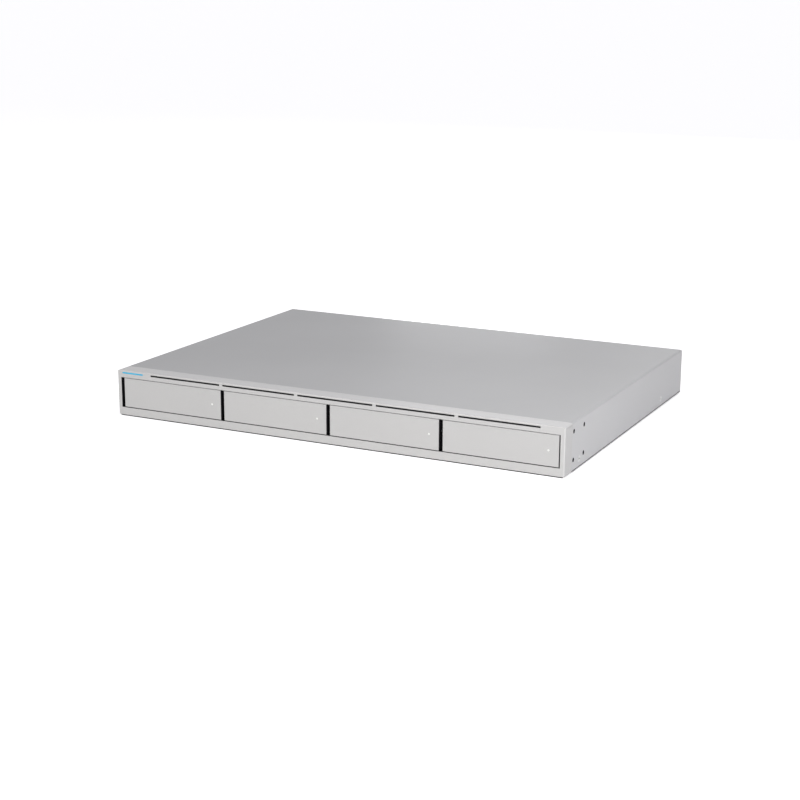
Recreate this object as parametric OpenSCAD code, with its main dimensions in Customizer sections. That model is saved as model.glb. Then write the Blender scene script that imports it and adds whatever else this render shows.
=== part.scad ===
// Four-bay network storage unit, one rack unit high.
// Frame: X across the front, Y from the front to the back, Z up. The origin is under the middle of the case.
// Bay pieces are drawn in the frame of their own bay: x from the bay's left edge, y from the front face.

/* [Case] */
// Width of the case over its side panels
case_w = 442; // [440:1:448]
// Depth of the case from the front frame to the rear lip
case_d = 325; // [322:1:350]
// Height of the case
case_h = 43.7; // [43.5:0.1:46]
// Thickness of the steel sheet
sheet_t = 1; // [0.8:0.05:1.2]
// Outside radius of the cover's bends
bend_r = 2; // [1.5:0.1:3]
// Outside radius of the pan's bends
pan_r = 1.5; // [1.3:0.1:2.5]
// How far the pan's front edge stands back from the front face
pan_inset = 1.2; // [0.8:0.1:2.5]
// Height of the cover's rear lip
lip_h = 8; // [7.6:0.1:8.4]

/* [Rack ear holes] */
// Distance from the front face to the first column of holes
ear_hole_y = 20.5; // [20.5:0.5:24]
// Spacing of the holes along the depth
ear_pitch_y = 24.5; // [20:0.5:32]
// Spacing of the holes along the height
ear_pitch_z = 24.7; // [22:0.1:26]
// Height of the middle of the pattern
ear_mid_z = 23.3; // [22.5:0.1:24]
// Radius of the holes and of the clinch nuts behind them
ear_hole_r = 2; // [1.6:0.05:2.1]

/* [Front frame] */
// Depth of the front frame
frame_d = 16.5; // [15:0.5:18]
// Thickness of the frame's front plate
frame_plate_t = 2.5; // [2:0.1:3]
// Thickness of the frame's outer walls
frame_wall_t = 1.3; // [1:0.1:1.5]
// Thickness of the sleeve round the bay opening
sleeve_t = 1.2; // [0.8:0.1:1.3]
// Depth of that sleeve from the front face
sleeve_d = 9; // [8:0.5:9.5]
// Radius of the frame's front edges
frame_edge_r = 1; // [0.6:0.1:1.2]
// Width of the frame on each side of the bay opening
frame_side_w = 4; // [3.6:0.1:4.5]
// Height of the bay opening's lower edge
opening_z = 8.4; // [8:0.1:8.8]

/* [Air slots and light bar] */
// Number of air slots
slot_count = 5; // [3:1:6]
// Length of an air slot
slot_l = 74; // [60:1:74]
// Height of the air slots and the light bar
slot_h = 1.5; // [1.2:0.1:1.7]
// Bridge between neighbouring slots
slot_bridge = 3.4; // [2.5:0.1:4]
// Distance from the case's left side to the first air slot
slot_start = 36.7; // [34:0.1:38]
// Distance from the case's top to the middle of the slots
slot_drop = 2.4; // [2.3:0.05:2.6]
// Distance from the case's left side to the light bar
light_start = 5.4; // [5:0.1:7]
// Length of the light bar
light_l = 22.6; // [16:0.1:24]

/* [Bays and doors] */
// Number of bays
bay_count = 4; // [4:1:4]
// Dark gap at the left edge of each door
finger_gap = 3.3; // [3.2:0.1:3.8]
// Gap at the right edge of the last door
end_gap = 0.8; // [0.5:0.1:1.2]
// Gap above and below a door
door_gap = 0.5; // [0.4:0.1:0.8]
// Thickness of a door's face
door_t = 1.6; // [1.2:0.1:2]
// Depth of a door's skirt from its face
skirt_d = 4; // [3:0.1:4]
// Thickness of a door's skirt
skirt_t = 1.2; // [0.8:0.1:1.2]
// Radius of a door's front edges
door_edge_r = 0.4; // [0.3:0.1:0.8]
// Distance from a door's left edge to its hinge pin
hinge_x = 5; // [5:0.1:6]
// Distance from the front face back to the hinge pin
hinge_y = 6; // [5.9:0.1:6]
// Radius of the hinge pin
pin_r = 1; // [0.8:0.1:1.2]
// Radius of the door's status lens
lens_r = 1; // [0.8:0.1:1.3]
// Distance from a door's right edge to its lens
lens_x = 9.5; // [8.5:0.1:11]

/* [Drives and trays] */
// Distance from a bay's edge to its drive, which leaves 101.6 for a 3.5 inch drive
drive_side = 3.35; // [3.3:0.05:3.7]
// Length of a drive
drive_l = 147; // [140:0.5:147]
// Height of a drive
drive_h = 26.1; // [19:0.1:26.1]
// Thickness of a tray's floor
tray_floor_t = 1.1; // [0.9:0.1:1.2]
// Thickness of a tray's side walls
tray_side_t = 1.35; // [1.2:0.05:1.5]
// Height of a tray's side walls
tray_side_h = 12.7; // [9:0.1:12.8]
// Distance from the front face to a tray's cross bar
bar_y = 11; // [11:0.1:12]
// Thickness of that cross bar
bar_t = 2; // [1.6:0.1:2.4]
// Distance from the front face to a drive
drive_y = 21.6; // [21.6:0.1:23]
// Travel of the touch latch
latch_travel = 1.5; // [1:0.1:1.8]
// Radius of the latch plunger
plunger_r = 2; // [1.6:0.1:2.2]

/* [Electronics] */
// Thickness of the circuit boards
board_t = 1.6; // [1.2:0.1:2]
// Height of the standoffs under the boards
standoff_h = 4; // [3.5:0.1:5]
// Outer size of a fan
fan_size = 40; // [36:0.5:40]
// Depth of a fan
fan_depth = 20; // [15:0.5:24]
// Spacing of the fans
fan_pitch = 46; // [44:0.5:48]
// Number of blades on a rotor
blade_count = 7; // [5:1:9]
// Distance from the case's left side to the mains inlet
inlet_side = 31; // [28:0.5:36]
// Distance from the mains inlet to the backup power socket
backup_step = 40; // [30:0.5:48]
// Distance from the case's right side to the copper network port
network_side = 31; // [26:0.5:36]
// Distance from the copper network port to the fibre network port
fibre_step = 26; // [20:0.5:32]
// Distance from the fibre network port to the reset button
reset_step = 20; // [14:0.5:26]
// Width of the main board
board_w = 150; // [146:1:160]
// Width of the power supply
supply_w = 100; // [94:1:104]
// Height of the power supply
supply_h = 34; // [32:0.5:38]
// Side of the square heatsink
sink_w = 48; // [36:1:52]

/* [Hidden] */
$fn = 48;

// Clearances
fit_gap = 0.1;      // between sheets that lie on each other
seam_gap = 0.25;    // between the front frame and the cover
run_gap = 0.3;      // between pieces that move past each other
bore_gap = 0.05;    // round a pin that turns
press_gap = 0.02;   // round a pin that is pressed in
cut = 1;            // how far a cutter runs past what it cuts

// Case
front_y = -case_d / 2;
back_y = case_d / 2;
case_x = case_w / 2;
pan_x = case_x - sheet_t - fit_gap;
pan_back_y = back_y - sheet_t - fit_gap;
pan_top_z = case_h - sheet_t - 1.2;
wall_y = pan_back_y - sheet_t;
cover_front_y = front_y + frame_d + seam_gap;
pan_side_y = front_y + frame_d + 0.5;

// Bay opening
opening_w = case_w - 2 * frame_side_w;
drive_lift = 0.1;
tray_z = opening_z + run_gap;
tray_floor_z = tray_z + tray_floor_t;
drive_z = tray_floor_z + drive_lift;
opening_top_z = drive_z + drive_h + 0.9;
bay_pitch = (opening_w - end_gap) / bay_count;
function bay_x(k) = -opening_w / 2 + (k - 1) * bay_pitch;
slot_z = case_h - slot_drop;

// Doors, in the bay's frame
door_x0 = finger_gap;
door_x1 = bay_pitch;
door_z0 = opening_z + door_gap;
door_z1 = opening_top_z - door_gap;
door_mid_z = (door_z0 + door_z1) / 2;
pivot = [door_x0 + hinge_x, hinge_y];
ear_t = 1.6;
ear_r = 2.6;
ear_z0 = door_z0 + skirt_t + run_gap;
ear_z1 = door_z1 - skirt_t - run_gap;
lens_at = door_x1 - lens_x;

// Trays, in the bay's frame
drive_w = bay_pitch - 2 * drive_side;
drive_side_gap = 0.15;
tray_w = drive_w + 2 * (drive_side_gap + tray_side_t);
tray_x0 = (bay_pitch - tray_w) / 2;
tray_x1 = tray_x0 + tray_w;
drive_x0 = (bay_pitch - drive_w) / 2;
drive_x1 = drive_x0 + drive_w;
tray_back = drive_y + drive_l - 3;
tray_side_z = tray_z + tray_side_h;
bar_top_z = ear_z1;
seat_pin_r = 1.4;
seat_pin_z = 6.35;
seat_pin_y = [41.3, 85.9];

// Touch latch, in the bay's frame
latch_x = lens_at - 11;
latch_z = door_mid_z;
latch_wall = 1.5;
plunger_front = 7.3;
latch_front = plunger_front + latch_travel + 0.2;
plunger_back = 15;
latch_end = drive_y - run_gap - 0.1;
spring_wire_r = 0.25;
spring_turns = 5;
boss_back = plunger_front - run_gap;

// Light guide, in the bay's frame
guide_w = 0.8;
guide_h = 2;
guide_z0 = tray_side_z + 0.1;
guide_x = tray_x1 - guide_w;
guide_front = skirt_d + 0.6;
guide_bend = drive_y - 4;

// Drive cage
cage_wall_t = 1;
divider_t = 1.2;
cage_x = pan_x - sheet_t - 1.9;
cage_front = frame_d - 5;
cage_back = backplane_y() - 1;
deck_z0 = opening_z - cage_wall_t;
function backplane_y() = drive_y + drive_l + 7.5;

// Boards
board_z = sheet_t + standoff_h;
board_top = board_z + board_t;
board_x1 = pan_x - sheet_t - 4;
board_x0 = board_x1 - board_w;
board_front = front_y + backplane_y() + board_t + 3.4;
board_back = wall_y - 1.5;
backplane_z0 = sheet_t + 1.5;
backplane_z1 = opening_top_z - 1;
supply_x0 = -pan_x + sheet_t + 2;
supply_x1 = supply_x0 + supply_w;
supply_y0 = board_front + 4;
supply_back = 26;   // room behind the power supply for the mains inlet and its leads
supply_y1 = wall_y - supply_back;
supply_l = supply_y1 - supply_y0;
board_l = board_back - board_front;
inlet_x = -case_x + inlet_side;
backup_x = inlet_x + backup_step;
network_x = case_x - network_side;
fibre_x = network_x - fibre_step;
reset_x = fibre_x - reset_step;
fan_z = sheet_t + 0.4 + fan_size / 2;
fan_front_y = wall_y - fan_depth;
fan_bore_r = fan_size / 2 - 1;
fan_hole = fan_size * 0.4;
function fan_at(k) = (supply_x1 + board_x0) / 2 + (k - 2) * fan_pitch;

// Countersunk screws of the case
screw_r = 1.5;
screw_head_r = 2.8;
screw_head_t = 1;
screw_l = 3.2;
side_screw_z = 8.3;
side_screw_y = [34.9, 260.5];
lip_screw_z = case_h - 4.8;
lip_screw_x = [inlet_x, supply_x1 - 6, board_x0 + 6, network_x];

// ---------- Shapes ----------

// Box from its lowest corner to its highest corner
module block(lo, hi) {
    translate(lo) cube([hi.x - lo.x, hi.y - lo.y, hi.z - lo.z]);
}

// Rectangle with its corners rounded: r is for lower left, lower right, upper right and upper left
module rounded_rect(lo, hi, r) {
    corners = [lo, [hi.x, lo.y], hi, [lo.x, hi.y]];
    difference() {
        translate(lo) square([hi.x - lo.x, hi.y - lo.y]);
        for (k = [0:3]) if (r[k] > 0) translate(corners[k]) rotate(90 * k) difference() {
            translate([-cut, -cut]) square(r[k] + cut);
            translate([r[k], r[k]]) circle(r[k]);
        }
    }
}

// A shape drawn in X and Z, run along Y
module along_y(y0, y1) {
    translate([0, y1, 0]) rotate([90, 0, 0]) linear_extrude(y1 - y0) children();
}

// A shape drawn in Y and Z, run along X
module along_x(x0, x1) {
    translate([x0, 0, 0]) rotate([90, 0, 90]) linear_extrude(x1 - x0) children();
}

// A shape drawn in X and Y, run up Z
module along_z(z0, z1) {
    translate([0, 0, z0]) linear_extrude(z1 - z0) children();
}

// Round bar along Y, from y0 to y1
module rod_y(x, y0, y1, z, r) {
    translate([x, y1, z]) rotate([90, 0, 0]) cylinder(h = y1 - y0, r = r);
}

// Round bar along X, from x0 to x1
module rod_x(x0, x1, y, z, r) {
    translate([x0, y, z]) rotate([0, 90, 0]) cylinder(h = x1 - x0, r = r);
}

// Direction of a line of points at point k, and a direction square to it that doesn't twist along the line
function heading(p, k) = let (v = p[min(k + 1, len(p) - 1)] - p[max(k - 1, 0)]) v / norm(v);
function across(p, k) = let (t = heading(p, k), u = k == 0 ? cross(t, [0.31, 0.52, 0.8]) : across(p, k - 1),
                             v = u - (u * t) * t) v / norm(v);

// The same line with its corners cut, twice as many points
function soften(p) = concat([p[0]],
    [for (k = [0:len(p) - 2], f = [0.25, 0.75]) p[k] + f * (p[k + 1] - p[k])], [p[len(p) - 1]]);

// Tube of radius r along a line of points
module tube(p, r, sides) {
    n = len(p);
    points = [for (k = [0:n - 1]) let (u = across(p, k), w = cross(heading(p, k), u))
        for (q = [0:sides - 1]) p[k] + r * (cos(360 * q / sides) * u + sin(360 * q / sides) * w)];
    faces = concat([[for (q = [sides - 1:-1:0]) q]], [[for (q = [0:sides - 1]) (n - 1) * sides + q]],
        [for (k = [0:n - 2], q = [0:sides - 1], half = [0, 1])
            let (a = k * sides, b = a + sides, m = (q + 1) % sides)
            half == 0 ? [a + q, a + m, b + m] : [a + q, b + m, b + q]]);
    polyhedron(points, [for (f = faces) [for (i = [len(f) - 1:-1:0]) f[i]]]);
}

// Places a bay piece in bay k
module in_bay(k) {
    translate([bay_x(k), front_y, 0]) children();
}

// Both sides of the case
module each_side() {
    for (side = [0, 1]) mirror([side, 0, 0]) children();
}

// Every rack ear hole on the right side, as [y, z]
ear_holes = [for (a = [0, 1], b = [-0.5, 0.5]) [front_y + ear_hole_y + a * ear_pitch_y, ear_mid_z + b * ear_pitch_z]];

// ---------- Case ----------

// Steel pan: floor, two side walls and the rear wall, bent from one sheet
module chassis_base() color("lightgray") {
    difference() {
        union() {
            difference() {
                pan_form(pan_x, pan_back_y, 0, pan_r);
                pan_form(pan_x - sheet_t, wall_y, sheet_t, pan_r - sheet_t);
                block([-case_x, front_y - cut, sheet_t], [case_x, pan_side_y, case_h]);
            }
            standoffs();
        }
        each_side() for (h = ear_holes) rod_x(pan_x - sheet_t - cut, pan_x + cut, h.x, h.y, nut_shank_r + bore_gap);
        each_side() for (y = side_screw_y)
            rod_x(pan_x - sheet_t - cut, pan_x + cut, front_y + y, side_screw_z, screw_r + bore_gap);
        for (x = lip_screw_x)
            rod_y(x, wall_y - cut, pan_back_y + cut, lip_screw_z, screw_r + bore_gap);
        for (x = frame_screw_x) translate([x, front_y + frame_screw_y, 0]) screw_hole();
        rear_openings();
        for (s = board_standoffs) translate([s.x, s.y, sheet_t]) cylinder(h = case_h, r = 1.2);
    }
}

// Solid outline of the pan: rounded where the floor meets the sides and the rear wall
module pan_form(x, y, z, r) {
    intersection() {
        along_y(front_y + pan_inset, y) rounded_rect([-x, z], [x, pan_top_z + (z > 0 ? cut : 0)], [r, r, 0, 0]);
        along_x(-x, x) rounded_rect([front_y + pan_inset, z], [y, case_h], [0, r, 0, 0]);
    }
}

// Clinched standoffs under the main board and the power supply board
board_standoffs = [
    for (x = [board_x0 + 5, board_x1 - 5], y = [board_front + 5, board_back - 30]) [x, y],
    for (x = [supply_x0 + 8, supply_x1 - 8], y = [supply_y0 + 8, supply_y1 - 8]) [x, y]];
module standoffs() {
    for (s = board_standoffs) translate([s.x, s.y, sheet_t / 2]) cylinder(h = board_z - sheet_t / 2, r = 2.6);
}

// Holes in the rear wall for the sockets, the fans and the reset button
module rear_openings() {
    along_y(wall_y - cut, pan_back_y + cut) {
        translate([inlet_x, inlet_z]) square([inlet_body.x + fit_gap, inlet_body.y + fit_gap], center = true);
        translate([backup_x, backup_z]) square([backup_size.x + fit_gap * 2, backup_size.y + fit_gap * 2], center = true);
        translate([network_x, board_top + jack_size.z / 2]) square([jack_size.x + 0.4, jack_size.z + 0.4], center = true);
        translate([fibre_x, board_top + cage_size.z / 2]) square([cage_size.x + 0.4, cage_size.z + 0.4], center = true);
        translate([reset_x, reset_z]) circle(reset_r + run_gap);
        for (k = [1:3]) translate([fan_at(k), fan_z]) {
            fan_vent();
            for (a = [-1, 1], b = [-1, 1]) translate([a * fan_hole, b * fan_hole]) circle(fan_screw_r + bore_gap);
        }
    }
}

// Round holes in rows over a fan's mouth
vent_r = 1.8;
vent_pitch = 4.7;
module fan_vent() {
    rows = floor(fan_bore_r / (vent_pitch * 0.866));
    for (row = [-rows:rows], col = [-rows - 1:rows + 1]) {
        p = [(col + (row % 2 == 0 ? 0 : 0.5)) * vent_pitch, row * vent_pitch * 0.866];
        if (norm(p) < fan_bore_r - vent_r) translate(p) circle(vent_r, $fn = 16);
    }
}

// Steel cover: top, both sides and a lip over the rear wall, bent from one sheet
module top_cover() color("silver") {
    side_z0 = sheet_t;
    difference() {
        cover_form(case_x, back_y, case_h, side_z0, bend_r);
        cover_form(case_x - sheet_t, back_y - sheet_t, case_h - sheet_t, -cut, bend_r - sheet_t);
        block([-case_x + sheet_t, wall_y, -cut], [case_x - sheet_t, back_y + cut, case_h - lip_h]);
        each_side() for (h = ear_holes) rod_x(case_x - sheet_t - cut, case_x + cut, h.x, h.y, ear_hole_r);
        each_side() for (y = side_screw_y)
            translate([case_x, front_y + y, side_screw_z]) rotate([0, -90, 0]) screw_hole();
        for (x = lip_screw_x)
            translate([x, back_y, lip_screw_z]) rotate([90, 0, 0]) screw_hole();
        // notches in the lip round the upper fan screws
        for (k = [1:3], a = [-1, 1]) translate([fan_at(k) + a * fan_hole, 0, fan_z + fan_hole]) {
            rod_y(0, wall_y, back_y + cut, 0, fan_head_r + run_gap);
            block([-fan_head_r - run_gap, wall_y, -fan_size / 2], [fan_head_r + run_gap, back_y + cut, 0]);
        }
    }
}

// Solid outline of the cover: rounded along both sides and along the back
module cover_form(x, y, top, z0, r) {
    intersection() {
        along_y(cover_front_y - (z0 < 0 ? cut : 0), y) rounded_rect([-x, z0], [x, top], [0, 0, r, r]);
        along_x(-x, x) rounded_rect([cover_front_y - 2 * cut, z0], [y, top], [0, 0, r, 0]);
    }
}

// Clearance hole and countersink for a case screw, which goes in along +Z from z = 0
module screw_hole() {
    translate([0, 0, -cut]) cylinder(h = screw_l + cut, r = screw_r + 0.15);
    translate([0, 0, -bore_gap]) cylinder(h = screw_head_t, r1 = screw_head_r + bore_gap * 2, r2 = screw_r + bore_gap * 2);
    translate([0, 0, -cut]) cylinder(h = cut, r = screw_head_r + bore_gap * 2);
}

// Countersunk screw with a cross recess
module case_screw() {
    difference() {
        union() {
            cylinder(h = screw_head_t, r1 = screw_head_r, r2 = screw_r);
            cylinder(h = screw_l, r = screw_r);
        }
        for (a = [0, 90]) rotate(a) block([-1.6, -0.3, -cut], [1.6, 0.3, 0.8]);
    }
}

// Front frame: a moulded ring round the bays, with the air slots and the light bar's slot above them
frame_screw_y = 12.5;
frame_screw_x = [-opening_w * 0.45, -opening_w * 0.15, opening_w * 0.15, opening_w * 0.45];
module front_bezel() color("gainsboro") {
    frame_z0 = sheet_t;
    back = front_y + frame_d;
    difference() {
        union() {
            difference() {
                intersection() {
                    along_y(front_y, back) rounded_rect([-case_x, frame_z0], [case_x, case_h], [0.5, 0.5, bend_r, bend_r]);
                    along_x(-case_x, case_x)
                        rounded_rect([front_y, frame_z0], [back, case_h], [frame_edge_r, 0, 0, frame_edge_r]);
                    along_z(frame_z0, case_h)
                        rounded_rect([-case_x, front_y], [case_x, back], [frame_edge_r, frame_edge_r, 0, 0]);
                }
                block([-case_x + frame_wall_t, front_y + frame_plate_t, frame_z0 + frame_wall_t],
                      [case_x - frame_wall_t, back + cut, case_h - frame_wall_t]);
            }
            block([-opening_w / 2 - sleeve_t, front_y + 1, opening_z - sleeve_t],
                  [opening_w / 2 + sleeve_t, front_y + sleeve_d, opening_top_z + sleeve_t]);
            for (x = frame_screw_x) block([x - 4, front_y + sleeve_d - 1, frame_z0], [x + 4, back - 0.3, opening_z - sleeve_t]);
            each_side() frame_tab(back);
        }
        block([-opening_w / 2, front_y - cut, opening_z], [opening_w / 2, front_y + frame_d + cut, opening_top_z]);
        along_y(front_y - cut, front_y + frame_plate_t + cut) {
            for (k = [0:slot_count - 1]) translate([slot_start - case_x + k * (slot_l + slot_bridge), slot_z - slot_h / 2])
                square([slot_l, slot_h]);
            translate([light_start - case_x, slot_z - slot_h / 2]) square([light_l, slot_h]);
        }
        for (x = frame_screw_x) translate([x, front_y + frame_screw_y, 0]) cylinder(h = screw_l + 1.5, r = screw_r + press_gap);
    }
}

// Tongue on the frame that slips behind the pan's side wall
module frame_tab(back) {
    half_h = (ear_pitch_z - 11) / 2;
    inner = pan_x - sheet_t - 1.8;
    block([inner, back - 5, ear_mid_z - half_h], [case_x - frame_wall_t + 0.3, back - 0.3, ear_mid_z + half_h]);
    block([inner, back - 0.5, ear_mid_z - half_h], [pan_x - sheet_t - fit_gap, back + 9, ear_mid_z + half_h]);
}

// Clear bar that shows the unit's state, with a flange behind the front plate
module status_light_bar() color("deepskyblue") translate([light_start - case_x, front_y, slot_z]) {
    h = slot_h - 0.1;
    block([0.1, 0.1, -h / 2], [light_l - 0.1, 5.5, h / 2]);
    block([1, frame_plate_t, -1], [light_l - 1, frame_plate_t + 1, 1]);
}

// Small board with the light bar's lamp, lying on the sleeve
module status_board() color("seagreen") {
    z = opening_top_z + sleeve_t;
    x = light_start - case_x;
    block([x, front_y + 5, z], [x + light_l + 8, front_y + sleeve_d + 14, z + 0.8]);
    block([x + 2, front_y + 6, z + 0.8], [x + light_l - 2, front_y + 8, slot_z + 0.6]);
    block([x + light_l, front_y + 15, z + 0.8], [x + light_l + 6, front_y + 20, z + 3]);
}

// Self-clinching nuts for the rack ears
nut_shank_r = 2.7;
nut_t = 1.5;
module rack_nuts() color("gold") each_side() for (h = ear_holes) difference() {
    union() {
        rod_x(pan_x - sheet_t - nut_t, pan_x - sheet_t, h.x, h.y, nut_shank_r + 1);
        rod_x(pan_x - sheet_t, pan_x - 0.1, h.x, h.y, nut_shank_r);
    }
    rod_x(pan_x - sheet_t - nut_t - cut, pan_x + cut, h.x, h.y, ear_hole_r);
}

// Countersunk screws: two in each side, three in the rear lip and four under the front frame
module case_screws() color("silver") {
    each_side() for (y = side_screw_y)
        translate([case_x, front_y + y, side_screw_z]) rotate([0, -90, 0]) case_screw();
    for (x = lip_screw_x) translate([x, back_y, lip_screw_z]) rotate([90, 0, 0]) case_screw();
    for (x = frame_screw_x) translate([x, front_y + frame_screw_y, 0]) case_screw();
}

// ---------- Drive cage and backplane ----------

// Sheet deck that carries the trays, with walls between the bays, guides along them and feet on the floor
module drive_cage() color("darkgray") {
    y0 = front_y + cage_front;
    y1 = front_y + cage_back;
    wall_top = opening_top_z - 1;
    difference() {
        union() {
            block([-cage_x, y0, deck_z0], [cage_x, y1, opening_z]);
            for (y = [front_y + 18, (y0 + y1) / 2, y1 - cage_wall_t])
                block([-cage_x, y, sheet_t], [cage_x, y + cage_wall_t, deck_z0 + 0.5]);
            each_side() block([cage_x - cage_wall_t, y0 + 12, deck_z0], [cage_x, y1, wall_top]);
            for (k = [2:bay_count]) {
                x = bay_x(k);
                block([x - divider_t / 2, y0, deck_z0], [x + divider_t / 2, front_y + backplane_y(), wall_top]);
                guide(x - tray_x0 + run_gap, x - divider_t / 4, y0, y1);
                guide(x + divider_t / 4, x + tray_x0 - run_gap, y0, y1);
            }
            guide(-cage_x + cage_wall_t / 2, bay_x(1) + tray_x0 - run_gap, y0, y1);
            guide(bay_x(bay_count) + tray_x1 + run_gap, cage_x - cage_wall_t / 2, y0, y1);
        }
        // windows that let the air reach the undersides of the drives
        for (k = [1:bay_count], w = [0, 1]) in_bay(k) translate([0, w * 66, 0])
            along_z(deck_z0 - cut, opening_z + cut) rounded_rect([20, 30], [bay_pitch - 20, 84], [6, 6, 6, 6]);
        // windows in the feet
        for (k = [1:bay_count]) in_bay(k) block([18, 0, sheet_t + 1.5], [bay_pitch - 18, 200, deck_z0 - 1]);
    }
}

// Guide rail beside a tray
module guide(x0, x1, y0, y1) {
    block([x0, y0 + 2, opening_z - 0.5], [x1, y1 - 4, tray_side_z - 3]);
}

// Upright board across the back of the cage, with a window behind each bay for the air
module backplane_board() color("darkgreen") translate([0, front_y + backplane_y(), 0]) {
    half = cage_x - 2;
    difference() {
        union() {
            block([-half, 0, backplane_z0], [half, board_t, backplane_z1]);
            for (k = [1:bay_count]) translate([bay_x(k) + bay_pitch - 22, board_t, 0]) {
                block([0, -0.1, backplane_z0 + 3], [9, 1.4, backplane_z0 + 8]);
                block([19.5 - tray_x0, -board_t - 1.2, guide_z0 + 0.4], [22 - tray_x0, -board_t + 0.1, guide_z0 + guide_h]);
            }
            // plug that meets the main board
            block([board_x0 + 20, board_t - 0.1, board_top], [board_x0 + 80, board_t + 6, board_top + 7]);
        }
        for (k = [1:bay_count]) translate([bay_x(k), 0, 0]) along_y(-cut, board_t + cut)
            rounded_rect([16, backplane_z1 - 15], [bay_pitch - 30, backplane_z1 - 3], [3, 3, 3, 3]);
    }
}

// Drive connector, from the backplane into the back of each drive
socket_x = 11;
socket_w = 42;
socket_z = 2;
socket_h = 5;
module drive_sockets() color("black") for (k = [1:bay_count]) in_bay(k) translate([drive_x0 + socket_x, 0, drive_z]) {
    difference() {
        union() {
            block([0, drive_y + drive_l - 4, socket_z + 1], [socket_w, backplane_y(), socket_z + socket_h - 1]);
            block([-2, drive_y + drive_l + 1, socket_z - 1], [socket_w + 2, backplane_y(), socket_z + socket_h + 1]);
        }
        block([2, drive_y + drive_l - 4 - cut, socket_z + 2], [17, drive_y + drive_l, socket_z + 3]);
        block([20, drive_y + drive_l - 4 - cut, socket_z + 2], [socket_w - 2, drive_y + drive_l, socket_z + 3]);
    }
}

// ---------- Trays and drives, in the frame of their bay ----------

// Moulded tray: floor, side walls, front cross bar with the hinge ears and the latch housing
module tray() color("dimgray") {
    difference() {
        union() {
            block([tray_x0, bar_y, tray_z], [tray_x1, tray_back, tray_floor_z]);
            for (x = [tray_x0, tray_x1 - tray_side_t])
                block([x, bar_y, tray_z], [x + tray_side_t, tray_back, tray_side_z]);
            block([tray_x0, bar_y, tray_z], [tray_x1, bar_y + bar_t, bar_top_z]);
            for (x = [tray_x0, tray_x1 - tray_side_t])
                block([x, bar_y, tray_z], [x + tray_side_t, bar_y + 8, bar_top_z]);
            for (y = seat_pin_y) {
                rod_x(tray_x0 + tray_side_t / 2, drive_x0 + 2, drive_y + y, drive_z + seat_pin_z, seat_pin_r);
                rod_x(drive_x1 - 2, tray_x1 - tray_side_t / 2, drive_y + y, drive_z + seat_pin_z, seat_pin_r);
            }
            for (z = [ear_z0, ear_z1 - ear_t]) hinge_ear(z);
            block([latch_x - latch_half, latch_front, latch_z - latch_half],
                  [latch_x + latch_half, latch_end, latch_z + latch_half]);
            for (y = [60, 110, 150]) guide_clip(y);
        }
        // windows in the floor and the cross bar
        for (w = [0, 1]) translate([0, w * 66, 0])
            along_z(tray_z - cut, tray_floor_z + cut) rounded_rect([20, 34], [bay_pitch - 20, 80], [5, 5, 5, 5]);
        for (n = [0:5]) along_y(bar_y - cut, bar_y + bar_t + cut)
            rounded_rect([16 + n * 11, 15], [23 + n * 11, bar_top_z - 4], [2, 2, 2, 2]);
        rod_y(latch_x, latch_front - cut, latch_end - 1, latch_z, plunger_r + 0.1);
        for (z = [ear_z0, ear_z1 - ear_t]) translate([pivot.x, pivot.y, z - cut])
            cylinder(h = ear_t + 2 * cut, r = pin_r + press_gap);
        // way for the light guide through the cross bar
        block([lens_at - 2, bar_y - cut, guide_z0 - 0.3], [tray_x1 + cut, bar_y + 9, guide_z0 + guide_h + 0.3]);
    }
}
latch_half = plunger_r + latch_wall;

// Ear that holds one end of the hinge pin
module hinge_ear(z) {
    translate([pivot.x, pivot.y, z]) cylinder(h = ear_t, r = ear_r);
    block([pivot.x - 1.5, pivot.y, z], [pivot.x + ear_r, bar_y + 0.5, z + ear_t]);
}

// Clip that keeps the light guide on the tray's side wall
module guide_clip(y) {
    block([tray_x1 - tray_side_t, y, tray_side_z - 1], [guide_x - 0.1, y + 4, guide_z0 + guide_h + 0.1]);
}

// Drive: cast base, stepped lid, screw holes and the connector recess at the back
module drive() color("silver") {
    top = drive_z + drive_h;
    back = drive_y + drive_l;
    difference() {
        union() {
            along_z(drive_z, top - 0.8) rounded_rect([drive_x0, drive_y], [drive_x1, back], [3, 3, 3, 3]);
            along_z(top - 1, top) rounded_rect([drive_x0 + 2.5, drive_y + 2.5], [drive_x1 - 2.5, back - 12], [8, 8, 8, 8]);
        }
        // shallow ring pressed into the lid over the platters
        translate([drive_x0 + drive_w / 2, drive_y + 52, top - 0.4]) difference() {
            cylinder(h = cut, r = 44);
            translate([0, 0, -cut]) cylinder(h = 3 * cut, r = 41);
        }
        translate([drive_x0 + drive_w / 2, drive_y + 52, top - 0.4]) cylinder(h = cut, r = 12);
        // screw pockets round the lid's edge
        for (x = [drive_x0 + 6.5, drive_x1 - 6.5], y = [7.5, 99, 127])
            translate([x, drive_y + y, top - 0.4]) difference() {
                cylinder(h = cut, r = 2.6);
                translate([0, 0, -cut]) cylinder(h = cut + 0.2, r = 2);
            }
        for (y = seat_pin_y) {
            rod_x(drive_x0 - cut, drive_x0 + 3, drive_y + y, drive_z + seat_pin_z, seat_pin_r + 0.2);
            rod_x(drive_x1 - 3, drive_x1 + cut, drive_y + y, drive_z + seat_pin_z, seat_pin_r + 0.2);
        }
        block([drive_x0 + socket_x - 0.5, back - 4.5, drive_z + socket_z + 0.5],
              [drive_x0 + socket_x + socket_w + 0.5, back + cut, drive_z + socket_z + socket_h - 0.5]);
        // recess for the circuit board under the casting
        block([drive_x0 + 3, drive_y + 70, drive_z - cut], [drive_x1 - 3, back - 8, drive_z + 0.6]);
    }
}

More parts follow.
